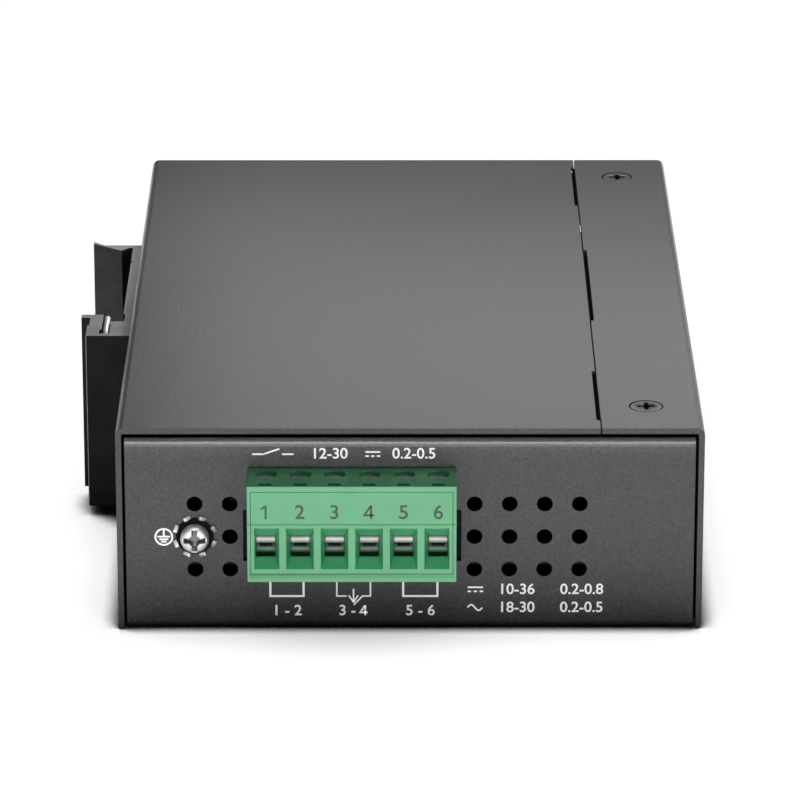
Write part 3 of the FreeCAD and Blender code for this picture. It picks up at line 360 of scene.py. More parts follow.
@dataclass(frozen=True)
class SolderMask(Finish):
    """Green solder mask over copper: glossy, with paler tracks showing through."""

    track: str = "#1d6a3c"
    cell_mm: float = 10.4
    track_share: float = 0.03
    relief_mm: float = 0.03
    relief_share: float = 0.5

    def dress(self, skin: Skin) -> None:
        """Draw tracks as a cell pattern.

        Args:
            skin: the material in the making.
        """
        place = add_node(skin.tree, "ShaderNodeTexCoord")
        mask = linear(self.colour)
        cells = add_node(skin.tree, "ShaderNodeTexBrick",
                         {"Vector": place.outputs["Object"], "Color1": mask, "Color2": mask,
                          "Mortar": linear(self.track), "Scale": 1.0 / (self.cell_mm * MM),
                          "Mortar Size": self.track_share})
        skin.feed("Base Color", cells.outputs["Color"])
        skin.bump(cells.outputs["Fac"], self.relief_mm, self.relief_share)


@dataclass(frozen=True)
class LampLens(Finish):
    """Diffused epoxy lens: milky, with some light passing through it."""

    passes: float = 0.5
    ior: float = 1.52
    cloud_mm: float = 0.4
    rough_span: Point = (0.0, 0.15)

    def dress(self, skin: Skin) -> None:
        """Let light pass and cloud the lens."""
        skin.set({"Transmission Weight": self.passes, "IOR": self.ior})
        skin.wear(skin.noise(self.cloud_mm), self.roughness, self.rough_span)


class Palette(Enum):
    """Finishes of the object's own pieces."""

    CASE = PowderCoat("powder_coated_steel", "#414143", 0.4)
    # Near black painted as shade into the case's holes, seam notches and countersinks, and into the cap screws'
    # recesses and rims.
    BORE = PowderCoat("shaded_cut_edge", "#0b0b0b", 0.8, "#0e0e0e", dark="#090909", sheen=0.05)
    BLACK_SCREW = PowderCoat("black_zinc_screw", "#414143", 0.4, "#474749", 0.4, relief_mm=0.02, dark="#3b3b3d")
    CLIP = AnodisedAlloy("black_anodised_extrusion", "#17171a", 0.6, "#1e1e20", sheen=0.1)
    # Sawn ends are bare alloy, painted lighter still as light from above; the same tone is a painted highlight on the
    # front corner.
    CLIP_END = AnodisedAlloy("sawn_alloy_end", "#7c7c7e", 0.5, "#868688", 0.2)
    ZINC = PlatedMetal("bright_zinc", "#e4e6e6", 0.28, "#f6f7f7")
    MATT_ZINC = PlatedMetal("matt_zinc", "#eaebeb", 0.52, "#f3f3f3")
    SHADED_ZINC = PlatedMetal("shaded_zinc_recess", "#7e7f80", 0.55, "#8a8b8c")
    # Dark phosphate on the board screws; on the washer's ring the same near black is painted shade under the screw
    # head.
    PHOSPHATE = PlatedMetal("dark_phosphate_steel", "#161617", 0.6, "#1e1e1f")
    WIRE = PlatedMetal("drawn_spring_wire", "#f2f3f3", 0.45, "#fbfbfb", 0.1, (1.0, 8.0, 8.0))
    # The clamp screws' nickel is tinted grey-green as a painted reflection of the green funnels.
    CLAMP = PlatedMetal("nickel_plated_screw", "#8d9a93", 0.5, "#9caaa2")
    STRIP = PlatedMetal("satin_tinned_strip", "#d8d8d6", 0.62, "#e4e4e2")
    # The cage is tinted green and darkened as a painted reflection of the funnels and painted shade.
    CAGE = PlatedMetal("zinc_iron_cage", "#74897e", 0.6, "#7e9388")
    # One green polyamide in three copies: the pale one is its lit front; the deep and mid ones are painted shade on the
    # top, sides and funnels, lifted by a faint painted glow.
    GREEN_FRONT = MouldedPlastic("pale_green_polyamide", "#6fba8a", 0.45, "#73bf8e")
    GREEN_BODY = MouldedPlastic("deep_green_polyamide", "#28603f", 0.42, "#2d6745", glow=0.06)
    GREEN_FUNNEL = MouldedPlastic("mid_green_polyamide", "#40a06c", 0.42, "#48a874", glow=0.04)
    # The white ink glows as painted light, to stay bright in shade.
    WHITE_INK = ScreenInk("white_screen_ink", "#eeeeee", 0.6, "#f8f8f8", 0.3)
    GREY_INK = ScreenInk("grey_green_ink", "#42574c", 0.6, "#4a5f54")
    # The solder mask is darker than its own green, as painted shade seen through the vents.
    MASK = SolderMask("green_solder_mask", "#06240f", 0.4, "#0d3a1d", sheen=0.2)
    PORT_STEEL = PlatedMetal("nickel_port_shield", "#c4c4c0", 0.24, "#dcdcd8", 0.3, (6.0, 1.0, 1.0))
    GOLD = PlatedMetal("gold_flash", "#e0b45a", 0.22, "#eac675")
    BLACK_PLASTIC = MouldedPlastic("black_moulded_plastic", "#0e0e0e", 0.6, "#141414", sheen=0.15)
    TAPE = MouldedPlastic("yellow_winding_tape", "#b39a2c", 0.35, "#c0a638", 0.5)
    SLEEVE = MouldedPlastic("dark_capacitor_sleeve", "#101218", 0.45, "#161920", sheen=0.2)
    LENS = LampLens("milky_lens", "#dfe6df", 0.25)


def weld(node: str, join_flats: bool = True) -> BMesh:
    """Return a welded copy of a CAD node's mesh.

    Args:
        node: the CAD node.
        join_flats: whether triangles in one plane are joined.

    Returns:
        The closed mesh.
    """
    mesh = bmesh.new()
    mesh.from_mesh(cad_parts[node].data)
    bmesh.ops.remove_doubles(mesh, verts=mesh.verts, dist=WELD_MM * MM)
    if join_flats:
        bmesh.ops.dissolve_limit(mesh, angle_limit=math.radians(FLAT_DEG), verts=mesh.verts, edges=mesh.edges)
    return mesh


def show(name: str, data: ID) -> Object:
    """Put a mesh, curve, lamp or camera into the scene.

    Args:
        name: the object's name.
        data: what it holds.

    Returns:
        The new object.
    """
    item = bpy.data.objects.new(name, data)
    bpy.context.scene.collection.objects.link(item)
    return item


def make_piece(name: str, mesh: BMesh, finishes: Sequence[Palette]) -> Object:
    """Make an object from a mesh, smooth-shaded up to an angle.

    Args:
        name: the piece's name.
        mesh: its geometry, which is freed.
        finishes: its material slots in order.

    Returns:
        The new object.
    """
    data = bpy.data.meshes.new(name)
    mesh.to_mesh(data)
    mesh.free()
    for finish in finishes:
        data.materials.append(finish.value.material())
    data.shade_smooth()
    data.set_sharp_from_angle(angle=math.radians(SMOOTH_DEG))
    return show(name, data)


def baked(item: Object) -> Mesh:
    """Make a plain mesh of an object as it is shown.

    Args:
        item: the object, with its modifiers or its curve.

    Returns:
        The new mesh.
    """
    graph = bpy.context.evaluated_depsgraph_get()
    graph.update()
    return bpy.data.meshes.new_from_object(item.evaluated_get(graph), depsgraph=graph)


def modify(item: Object, kind: str, **settings: object) -> None:
    """Put an object's mesh through a modifier.

    Args:
        item: the object.
        kind: the modifier's type.
        settings: properties of the modifier.
    """
    modifier = item.modifiers.new(kind, kind)
    for name, value in settings.items():
        setattr(modifier, name, value)
    data = baked(item)
    item.modifiers.clear()
    item.data = data


class Edges(Enum):
    """Which sharp edges of a piece are rounded."""

    ALL = "all"
    ROOMY = "all, narrowed where faces are small"
    OUTER = "those on the corners of the piece's box"


def mesh_box(data: Mesh) -> tuple[list[float], list[float]]:
    """Return the low and the high corner of a mesh's box."""
    axes = list(zip(*(vert.co for vert in data.vertices)))
    return [min(axis) for axis in axes], [max(axis) for axis in axes]


def outer_edges(data: Mesh) -> None:
    """Mark for rounding the edges where two sides of a mesh's box meet.

    Args:
        data: the mesh.
    """
    low, high = mesh_box(data)
    weight = data.attributes.new("bevel_weight_edge", "FLOAT", "EDGE")
    for edge in data.edges:
        ends = [data.vertices[at].co for at in edge.vertices]
        sides = sum(all(abs(end[axis] - limit[axis]) < BOX_SIDE_MM * MM for end in ends)
                    for axis in range(3) for limit in (low, high))
        weight.data[edge.index].value = float(sides >= 2)


def soften(item: Object, width_mm: float, edges: Edges = Edges.ALL, angle_deg: float = 40.0,
           smooth_deg: float = SMOOTH_DEG) -> None:
    """Round an object's sharp edges, staying inside its box.

    Args:
        item: the object.
        width_mm: width of the rounding.
        edges: which edges are rounded.
        angle_deg: edges sharper than this are rounded.
        smooth_deg: edges sharper than this stay sharp in the shading.
    """
    low, high = mesh_box(item.data)
    if edges is Edges.OUTER:
        outer_edges(item.data)
    modify(item, "BEVEL", width=width_mm * MM, segments=2, angle_limit=math.radians(angle_deg), loop_slide=False,
           use_clamp_overlap=edges is Edges.ROOMY, limit_method="WEIGHT" if edges is Edges.OUTER else "ANGLE")
    for vert in item.data.vertices:
        vert.co = [min(max(at, least), most) for at, least, most in zip(vert.co, low, high)]
    item.data.shade_smooth()
    item.data.set_sharp_from_angle(angle=math.radians(smooth_deg))
    modify(item, "WEIGHTED_NORMAL", weight=100, keep_sharp=True)


def carve(item: Object, cutter: Object) -> None:
    """Cut a cutter out of an object and drop the cutter."""
    modify(item, "BOOLEAN", operation="DIFFERENCE", solver="EXACT", object=cutter)
    bpy.data.objects.remove(cutter)


def mount(item: Object, slot: str, *nodes: str, body: str = Body.CASE.value) -> None:
    """Ride a finished piece on a body.

    Args:
        item: the piece.
        slot: name of its material slot; not used.
        nodes: the CAD nodes that it stands for.
        body: name of the body.
    """
    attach(item, body)
    if nodes:
        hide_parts(*nodes)
    LOG.info("%s rides on %s", item.name, body)


def paint(finish: Palette, *nodes: str) -> None:
    """Give CAD nodes a finish.

    Args:
        finish: the finish.
        nodes: the CAD nodes.
    """
    for node in nodes:
        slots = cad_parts[node].data.materials
        slots.clear()
        slots.append(finish.value.material())
        LOG.info("%s is finished in %s", node, finish.value.name)


def revolve(profile: Sequence[Point], steps: int) -> BMesh:
    """Turn a profile about Z into a closed solid.

    Args:
        profile: radius and height points in millimetres, from the axis and back to it.
        steps: faces around.

    Returns:
        The solid's mesh.
    """
    mesh = bmesh.new()
    points = [mesh.verts.new((radius * MM, 0.0, height * MM)) for radius, height in profile]
    edges = [mesh.edges.new(pair) for pair in zip(points, points[1:])]
    bmesh.ops.spin(mesh, geom=points + edges, cent=(0, 0, 0), axis=(0, 0, 1), angle=2 * math.pi, steps=steps)
    bmesh.ops.remove_doubles(mesh, verts=mesh.verts, dist=AXIS_GAP)
    bmesh.ops.recalc_face_normals(mesh, faces=mesh.faces)
    return mesh


def prism(outline: Sequence[Point], low: float, high: float, top_scale: float) -> BMesh:
    """Raise an outline in XY between two heights.

    Args:
        outline: points in millimetres, going round.
        low: height of the foot.
        high: height of the top.
        top_scale: size of the top compared with the foot.

    Returns:
        The solid's mesh.
    """
    mesh = bmesh.new()
    foot = [mesh.verts.new((x * MM, y * MM, low * MM)) for x, y in outline]
    top = [mesh.verts.new((x * top_scale * MM, y * top_scale * MM, high * MM)) for x, y in outline]
    mesh.faces.new(foot[::-1])
    mesh.faces.new(top)
    count = len(outline)
    for at in range(count):
        after = (at + 1) % count
        mesh.faces.new((foot[at], foot[after], top[after], top[at]))
    bmesh.ops.recalc_face_normals(mesh, faces=mesh.faces)
    return mesh


def fasten(name: str, pattern: Object, places: Sequence[tuple[Vector, Vector]], finish: Palette,
           recess: Palette) -> Object:
    """Set copies of a fastener at places with a node tree.

    Args:
        name: name of the group.
        pattern: one fastener along +Z with its seat at the origin, which is dropped afterwards.
        places: seat and outward axis of each copy, in metres.
        finish: material of the group.
        recess: material of the faces marked as recess, which carries a painted shade.

    Returns:
        One object that holds all the copies.
    """
    tree = bpy.data.node_groups.new(f"{name}_field", "GeometryNodeTree")
    for label, way in (("Seats", "INPUT"), ("Fasteners", "OUTPUT")):
        tree.interface.new_socket(label, in_out=way, socket_type="NodeSocketGeometry")
    given = add_node(tree, "NodeGroupInput")
    axis = add_node(tree, "GeometryNodeInputNamedAttribute", {"Name": "outward"}, data_type="FLOAT_VECTOR")
    turn = add_node(tree, "FunctionNodeAlignRotationToVector", {"Vector": axis.outputs["Attribute"]}, axis="Z")
    source = add_node(tree, "GeometryNodeObjectInfo", {"Object": pattern})
    copies = add_node(tree, "GeometryNodeInstanceOnPoints",
                      {"Points": given.outputs["Seats"], "Instance": source.outputs["Geometry"],
                       "Rotation": turn.outputs["Rotation"]})
    solid = add_node(tree, "GeometryNodeRealizeInstances", {"Geometry": copies.outputs["Instances"]})
    coated = add_node(tree, "GeometryNodeSetMaterial",
                      {"Geometry": solid.outputs["Geometry"], "Material": finish.value.material()})
    marked = add_node(tree, "GeometryNodeInputNamedAttribute", {"Name": "recess"}, data_type="BOOLEAN")
    shaded = add_node(tree, "GeometryNodeSetMaterial",
                      {"Geometry": coated.outputs["Geometry"], "Selection": marked.outputs["Attribute"],
                       "Material": recess.value.material()})
    add_node(tree, "NodeGroupOutput", {"Fasteners": shaded.outputs["Geometry"]})

    seats = bpy.data.meshes.new(f"{name}_seats")
    seats.from_pydata([tuple(seat) for seat, _ in places], [], [])
    outward = seats.attributes.new("outward", "FLOAT_VECTOR", "POINT")
    for at, (_, direction) in enumerate(places):
        outward.data[at].vector = direction
    item = show(name, seats)
    modify(item, "NODES", node_group=tree)
    bpy.data.objects.remove(pattern)
    bpy.data.node_groups.remove(tree)
    return item


@dataclass
class CrossScrew:
    """A screw with a cross recess; the seat is where the head's top rim lies."""

    profile: Sequence[Point]
    wing_mm: float = 1.33
    wing_width_mm: float = 0.6
    centre_mm: float = 0.62
    depth_mm: float = 1.1
    taper: float = 0.7
    rim_slope: float = 0.4
    floor_mm: float = 0.02
    lip_mm: float = 0.04
    steps: int = 56

    def build(self, name: str) -> Object:
        """Make one screw along +Z.

        Args:
            name: name of the pattern object.

        Returns:
            The screw with its recess cut.
        """
        top = max(height for _, height in self.profile)
        screw = make_piece(name, revolve(self.profile, self.steps), (Palette.ZINC,))
        sizes = (self.wing_width_mm, 2 * self.wing_mm, 2 * self.centre_mm)
        half, long, core = (size / 2 * self.taper for size in sizes)
        outline: Loop = []
        for turn in range(4):
            cos, sin = round(math.cos(turn * math.pi / 2)), round(math.sin(turn * math.pi / 2))
            wing = [(long, -half), (long, half), (core, half), (half, core)]
            outline += [(x * cos - y * sin, x * sin + y * cos) for x, y in wing]
        recess = prism(outline, top - self.depth_mm, top + self.depth_mm, 2 / self.taper - 1)
        carve(screw, make_piece(f"{name}_recess", recess, ()))
        # Recess faces, and steep rim faces where rim_slope allows, are marked for a painted shade material.
        marks = screw.data.attributes.new("recess", "BOOLEAN", "FACE")
        for face in screw.data.polygons:
            radius, height = math.hypot(face.center.x, face.center.y) / MM, face.center.z / MM
            sunk = top - self.depth_mm - self.floor_mm < height < self.surface(radius) - self.lip_mm
            rim = abs(face.normal.z) < self.rim_slope and radius > self.wing_mm
            marks.data[face.index].value = rim or (sunk and radius < self.wing_mm)
        return screw

    def surface(self, radius: float) -> float:
        """Find the head's height at a radius.

        Args:
            radius: distance from the axis in millimetres.

        Returns:
            The height in millimetres.
        """
        for (inner, high), (outer, low) in zip(self.profile, self.profile[1:]):
            if inner <= radius < outer:
                return high + (low - high) * (radius - inner) / (outer - inner)
        return self.profile[0][1]


@dataclass
class CaseShell:
    """The three folded sheets of the case."""

    edge_mm: float = 0.09
    edge_deg: float = 50.0
    panel_mm: Point = (64.3, 65.4)
    opening_mm: Point = (7.0, 27.0)
    opening_x_mm: float = 41.0
    wall_slope: float = 0.5
    screw_mm: Point = (35.2, 56.2)
    sink_mm: float = 2.75
    sink_slope: Point = (0.05, 0.95)
    seam_mm: Point = (28.2, 7.5)
    notch_mm: float = 62.5
    tab_z_mm: Point = (29.0, 31.6)
    tab_slope: float = 0.2
    sheets: dict[str, str] = field(default_factory=lambda: {
        "base_chassis": "base_sheet", "main_cover": "cover_sheet", "front_cap": "cap_sheet"})

    def build(self) -> None:
        """Replace each folded solid with one whose cut edges are rounded, and paint shade black into its holes, notches
        and countersinks.
        """
        for node, name in self.sheets.items():
            sheet = make_piece(name, weld(node), (Palette.CASE, Palette.BORE))
            soften(sheet, self.edge_mm, angle_deg=self.edge_deg)
            for face in sheet.data.polygons:
                # Faces in holes, under seam notches and in countersinks take the black painted shade.
                face.material_index = int(self.is_bore(face.center / MM, face.normal))
            mount(sheet, "powder_coat", node)

    def is_bore(self, at: Vector, normal: Vector) -> bool:
        """Tell whether a face gets painted shade: in a panel's hole, under a notch of the seam or in a screw's
        countersink.

        Args:
            at: the face's middle in millimetres.
            normal: its normal.

        Returns:
            True if it does.
        """
        in_panel = self.panel_mm[0] < abs(at.y) < self.panel_mm[1] and abs(normal.y) < self.wall_slope
        if in_panel and self.opening_mm[0] < at.z < self.opening_mm[1] and abs(at.x) < self.opening_x_mm:
            return True
        under_notch = abs(at.x - self.seam_mm[0]) < self.seam_mm[1] and abs(at.y) < self.notch_mm
        if under_notch and self.tab_z_mm[0] < at.z < self.tab_z_mm[1] and normal.z > self.tab_slope:
            return True
        near = math.hypot(at.x - self.screw_mm[0], abs(at.y) - self.screw_mm[1]) < self.sink_mm
        return near and self.sink_slope[0] < abs(normal.z) < self.sink_slope[1]


@dataclass
class CaseFasteners:
    """Countersunk screws of the cap and the clip."""

    head_mm: float = 2.37
    rim_mm: Sequence[Point] = ((-0.25, 0.0), (-0.06, -0.03), (0.0, -0.12), (-0.02, -0.22))
    neck_mm: float = 0.2
    shank_mm: float = 1.4
    tip_mm: float = 0.3
    sink_mm: float = 0.01
    csk_mm: float = 2.5
    cap_length_mm: float = 5.9
    clip_length_mm: float = 4.5

    def build(self) -> None:
        """Set four cap screws and two clip screws, each with a cross recess."""
        sink, inset = self.sink_mm * MM, self.csk_mm * MM
        low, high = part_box("cap_screws")
        across = (low.x + high.x) / 2
        seats = [(Vector((across, along, level)), Vector((0, 0, up)))
                 for along in (low.y + inset, high.y - inset)
                 for level, up in ((high.z - sink, 1), (low.z + sink, -1))]
        self.place("cap_screw", self.cap_length_mm, seats)
        low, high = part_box("clip_screws")
        height = (low.z + high.z) / 2
        seats = [(Vector((low.x + sink, along, height)), Vector((-1, 0, 0)))
                 for along in (low.y + inset, high.y - inset)]
        self.place("clip_screw", self.clip_length_mm, seats)

    def place(self, kind: str, length_mm: float, seats: Sequence[tuple[Vector, Vector]]) -> None:
        """Set countersunk screws of one kind.

        Args:
            kind: name of one screw.
            length_mm: its length.
            seats: seat and outward axis of each screw, in metres.
        """
        head, shank = self.head_mm, self.shank_mm
        profile = [(0, 0), *((head + out, height) for out, height in self.rim_mm), (shank, shank - head - self.neck_mm),
                   (shank, self.tip_mm - length_mm), (shank - self.tip_mm, -length_mm), (0, -length_mm)]
        pattern = CrossScrew(profile).build(kind)
        # Each head's cross recess and steep rim are painted black as shade.
        screws = fasten(f"{kind}_set", pattern, seats, Palette.BLACK_SCREW, Palette.BORE)
        mount(screws, "black_screw", f"{kind}s")


@dataclass
class GroundTerminal:
    """Pan-head ground screw on a lock washer with twisted teeth."""

    head_mm: float = 2.12
    dome_mm: Sequence[Point] = ((0, 1.9), (1.0, 1.88), (1.6, 1.8))
    rim_mm: Sequence[Point] = ((-0.22, 1.66), (-0.07, 1.46), (0.0, 1.1), (0.0, 0.7), (-0.05, 0.08), (-0.14, 0.0))
    shank_mm: Sequence[Point] = ((1.4, 0.0), (1.4, -4.6), (1.1, -4.9), (0, -4.9))
    ring_inner_mm: float = 1.6
    ring_outer_mm: float = 2.8
    ring_steps: int = 64
    tooth_mm: float = 1.05
    tooth_reach_mm: float = 0.6
    tooth_root_mm: float = 0.08
    tooth_flare: float = 0.12
    tooth_proud_mm: float = 0.1
    tooth_edge_mm: float = 0.07
    thick_mm: float = 0.4
    teeth: int = 8
    twist_deg: float = 24.0
    lift_mm: float = 0.2

    def build(self) -> None:
        """Make the screw, the washer's ring and its teeth."""
        low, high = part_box("ground_washer")
        centre = (low + high) / 2 + Vector((0, 0, self.lift_mm * MM))
        seat = Vector((centre.x, low.y, centre.z))
        out = Vector((0, -1, 0))
        rim = [(self.head_mm + wider, height) for wider, height in self.rim_mm]
        head = CrossScrew([*self.dome_mm, *rim, *self.shank_mm], wing_mm=1.72, wing_width_mm=0.82, centre_mm=0.8,
                          depth_mm=1.2, rim_slope=0.0).build("ground_screw_pattern")
        screw = fasten("ground_screw_head", head, [(seat, out)], Palette.MATT_ZINC, Palette.SHADED_ZINC)
        mount(screw, "zinc_steel", "ground_screw")

        inner, outer, thick = self.ring_inner_mm, self.ring_outer_mm, self.thick_mm
        section = [(inner, 0), (outer, 0), (outer, thick), (inner, thick), (inner, 0)]
        ring = make_piece("ring_pattern", revolve(section, self.ring_steps), ())
        seat = Vector((centre.x, high.y, centre.z))
        # The washer's ring is painted near black as shade under the screw head.
        washer = fasten("ground_washer_ring", ring, [(seat, out)], Palette.PHOSPHATE, Palette.PHOSPHATE)
        mount(washer, "zinc_steel", "ground_washer")
        teeth = bmesh.new()
        for tooth in range(self.teeth):
            self.add_tooth(teeth, 2 * math.pi * (tooth + 0.5) / self.teeth, seat)
        item = make_piece("ground_washer_teeth", teeth, (Palette.MATT_ZINC,))
        soften(item, self.tooth_edge_mm)
        mount(item, "zinc_steel")

    def add_tooth(self, mesh: BMesh, turn: float, seat: Vector) -> None:
        """Add one tooth, twisted about its own radius.

        Args:
            mesh: the mesh that gets the tooth.
            turn: angle round the screw.
            seat: middle of the washer's foot.
        """
        foot = self.ring_outer_mm - self.tooth_root_mm
        twist = Matrix.Rotation(math.radians(self.twist_deg), 4, "X")
        lean = Matrix.Rotation(turn, 4, "Z")
        upright = Matrix.Rotation(math.pi / 2, 4, "X")
        for vert in bmesh.ops.create_cube(mesh, size=1.0)["verts"]:
            x, y, z = vert.co
            flare = 1.0 + self.tooth_flare * (x + 0.5)
            local = twist @ Vector((0.0, y * self.tooth_mm * flare, z * self.thick_mm))
            local.x = foot + (x + 0.5) * self.tooth_reach_mm
            local.z += self.thick_mm / 2 + self.tooth_proud_mm
            vert.co = seat + (upright @ lean @ local) * MM


@dataclass
class RailClip:
    """Extruded rail clip with its wire spring; sawn ends are bare alloy painted lighter as light from above, the front
    corner a painted highlight.
    """

    edge_mm: float = 0.12
    end_slope: float = 0.8
    corner_slope: float = 0.3
    corner_mm2: float = 6.0

    def build(self) -> None:
        """Round the clip's edges and dress the spring."""
        clip = make_piece("clip_extrusion", weld("rail_clip"), (Palette.CLIP, Palette.CLIP_END))
        soften(clip, self.edge_mm)
        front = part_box("rail_clip")[0].y + self.edge_mm * MM
        # Sawn ends take the lighter tone as bare alloy and painted light; small front-corner faces take it as a painted
        # highlight.
        for face in clip.data.polygons:
            turned = max(face.normal.x, face.normal.y) < -self.corner_slope
            highlit_corner = turned and face.area < self.corner_mm2 * MM * MM and face.center.y < front
            face.material_index = int(highlit_corner or abs(face.normal.z) > self.end_slope)
        mount(clip, "clip_alloy", "rail_clip")
        paint(Palette.WIRE, "rail_spring")


@dataclass
class TerminalPlug:
    """Pluggable terminal: housing, front insert with funnels, contacts, clamps and pole numbers."""

    edge_mm: float = 0.1
    insert_edge_mm: float = 0.07
    clamp_edge_mm: float = 0.06
    smooth_deg: float = 20.0
    front_slope: float = 0.4
    front_mm: float = 0.3
    digit_mm: float = 3.1
    digit_z_mm: float = 21.56
    one_mm: Lines = (((-0.62, 0.6), (0.08, 1.0), (0.08, -0.98)),)
    stroke_mm: float = 0.3
    slot_mm: float = 0.62
    head_lift_mm: float = 0.5

    def build(self) -> None:
        """Dress the plug and everything that rides in it."""
        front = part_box("plug_face")[0].y
        for name, node, finish, width, edges in (
                ("plug_moulding", "plug_housing", Palette.GREEN_BODY, self.edge_mm, Edges.OUTER),
                ("plug_front_insert", "plug_face", Palette.GREEN_FUNNEL, self.insert_edge_mm, Edges.ROOMY)):
            item = make_piece(name, weld(node, False), (finish, Palette.GREEN_FRONT))
            soften(item, width, edges, smooth_deg=self.smooth_deg)
            # Front faces take the pale green; every other face keeps a darker copy of it as painted shade.
            for face in item.data.polygons:
                if face.normal.y < -self.front_slope and face.center.y < front + self.front_mm * MM:
                    face.material_index = 1
            mount(item, "terminal_green", node, body=Body.PLUG.value)

        paint(Palette.STRIP, "contact_strips")
        for pole in range(1, POLES + 1):
            self.clamp(pole)
            self.digit(pole, front)

    def clamp(self, pole: int) -> None:
        """Round the edges of one clamp's screw and cage, and bring the screw's head up in its funnel.

        Args:
            pole: the clamp's number.
        """
        # Screw and cage carry a painted green reflection; the cage also carries painted shade.
        for kind, finish in (("clamp_screw", Palette.CLAMP), ("clamp_cage", Palette.CAGE)):
            node = f"{kind}_{pole}"
            mesh = weld(node)
            if finish is Palette.CLAMP:
                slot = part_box(node)[1].z - self.slot_mm * MM
                for vert in mesh.verts:
                    vert.co.z += self.head_lift_mm * MM if vert.co.z > slot else 0.0
            item = make_piece(f"{kind}_dressed_{pole}", mesh, (finish,))
            soften(item, self.clamp_edge_mm, Edges.ROOMY)
            mount(item, "tinned_metal", node, body=node)

    def digit(self, pole: int, front: float) -> None:
        """Print a pole's number on the insert.

        Args:
            pole: the number.
            front: where the insert's front plane lies along Y.
        """
        low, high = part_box(f"clamp_screw_{pole}")
        ink = Print(Palette.GREY_INK)
        name = f"pole_number_{pole}"
        if pole == 1:
            item = ink.strokes(name, self.one_mm, self.stroke_mm)
        elif pole == 4:
            item = ink.strokes(name, FIGURE_FOUR, self.stroke_mm, self.digit_mm)
        else:
            item = ink.text(name, str(pole), self.digit_mm)
        place_print(item, Vector(((low.x + high.x) / 2, front, self.digit_z_mm * MM)))
        mount(item, "terminal_green", body=Body.PLUG.value)


@dataclass
class Print:
    """Ink laid on the terminal end as thin closed plates."""

    ink: Palette
    film_mm: float = 0.02
    bold_mm: float = 0.03
    mitre: float = 0.35

    def text(self, name: str, words: str, size_mm: float) -> Object:
        """Set numbers or signs in type, centred on the plane's origin.

        Args:
            name: the piece's name.
            words: the characters.
            size_mm: the type's nominal height.

        Returns:
            The print as a mesh.
        """
        curve = bpy.data.curves.new(name, "FONT")
        curve.body = words
        curve.size = size_mm * MM
        curve.align_x = "CENTER"
        curve.align_y = "CENTER"
        curve.extrude = self.film_mm / 2 * MM
        curve.offset = self.bold_mm * MM
        source = show(name, curve)
        data = baked(source)
        bpy.data.objects.remove(source)
        return self.lay(name, data)

    def strokes(self, name: str, lines: Lines, width_mm: float, size: float = 1.0) -> Object:
        """Draw lines of even width.

        Args:
            name: the piece's name.
            lines: polylines in millimetres on the plane; a line that ends where it starts is closed.
            width_mm: width of the lines.
            size: how much larger they are drawn.

        Returns:
            The print as a mesh.
        """
        mesh = bmesh.new()
        for line in lines:
            self.add_ribbon(mesh, [(x * size, z * size) for x, z in line], width_mm / 2)
        bmesh.ops.recalc_face_normals(mesh, faces=mesh.faces)
        data = bpy.data.meshes.new(name)
        mesh.to_mesh(data)
        mesh.free()
        return self.lay(name, data)

    def add_ribbon(self, mesh: BMesh, line: Sequence[Point], half: float) -> None:
        """Add one mitred ribbon with its thickness.

        Args:
            mesh: the mesh that gets the ribbon.
            line: the ribbon's middle line in millimetres.
            half: half its width.
        """
        closed = line[0] == line[-1]
        points = [Vector(point) for point in (line[:-1] if closed else line)]
        count = len(points)
        film = self.film_mm / 2
        rows = []
        for at, point in enumerate(points):
            before = points[at - 1] if at or closed else None
            after = points[(at + 1) % count] if at < count - 1 or closed else None
            ways = [way.normalized() for way in (point - before if before else None, after - point if after else None)
                    if way is not None]
            along = sum(ways, Vector((0, 0))).normalized()
            normal = Vector((-along.y, along.x))
            grow = half / max(self.mitre, normal.dot(Vector((-ways[0].y, ways[0].x))))
            left, right = point + normal * grow, point - normal * grow
            rows.append([mesh.verts.new((p.x * MM, p.y * MM, z * MM))
                         for p, z in ((left, film), (right, film), (right, -film), (left, -film))])
        for at in range(count if closed else count - 1):
            here, there = rows[at], rows[(at + 1) % count]
            for side in range(4):
                after = (side + 1) % 4
                mesh.faces.new((here[side], here[after], there[after], there[side]))
        if not closed:
            mesh.faces.new(rows[0])
            mesh.faces.new(rows[-1][::-1])

    def lay(self, name: str, data: Mesh) -> Object:
        """Turn flat print upright and ink it.

        Args:
            name: the piece's name.
            data: the print in XY.

        Returns:
            The print as an object.
        """
        data.transform(Matrix.Rotation(math.pi / 2, 4, "X"))
        data.materials.clear()
        data.materials.append(self.ink.value.material())
        return show(name, data)


def place_print(item: Object, where: Vector) -> None:
    """Move print to its place by its mesh, so that the object stays at the origin."""
    item.data.transform(Matrix.Translation(where))


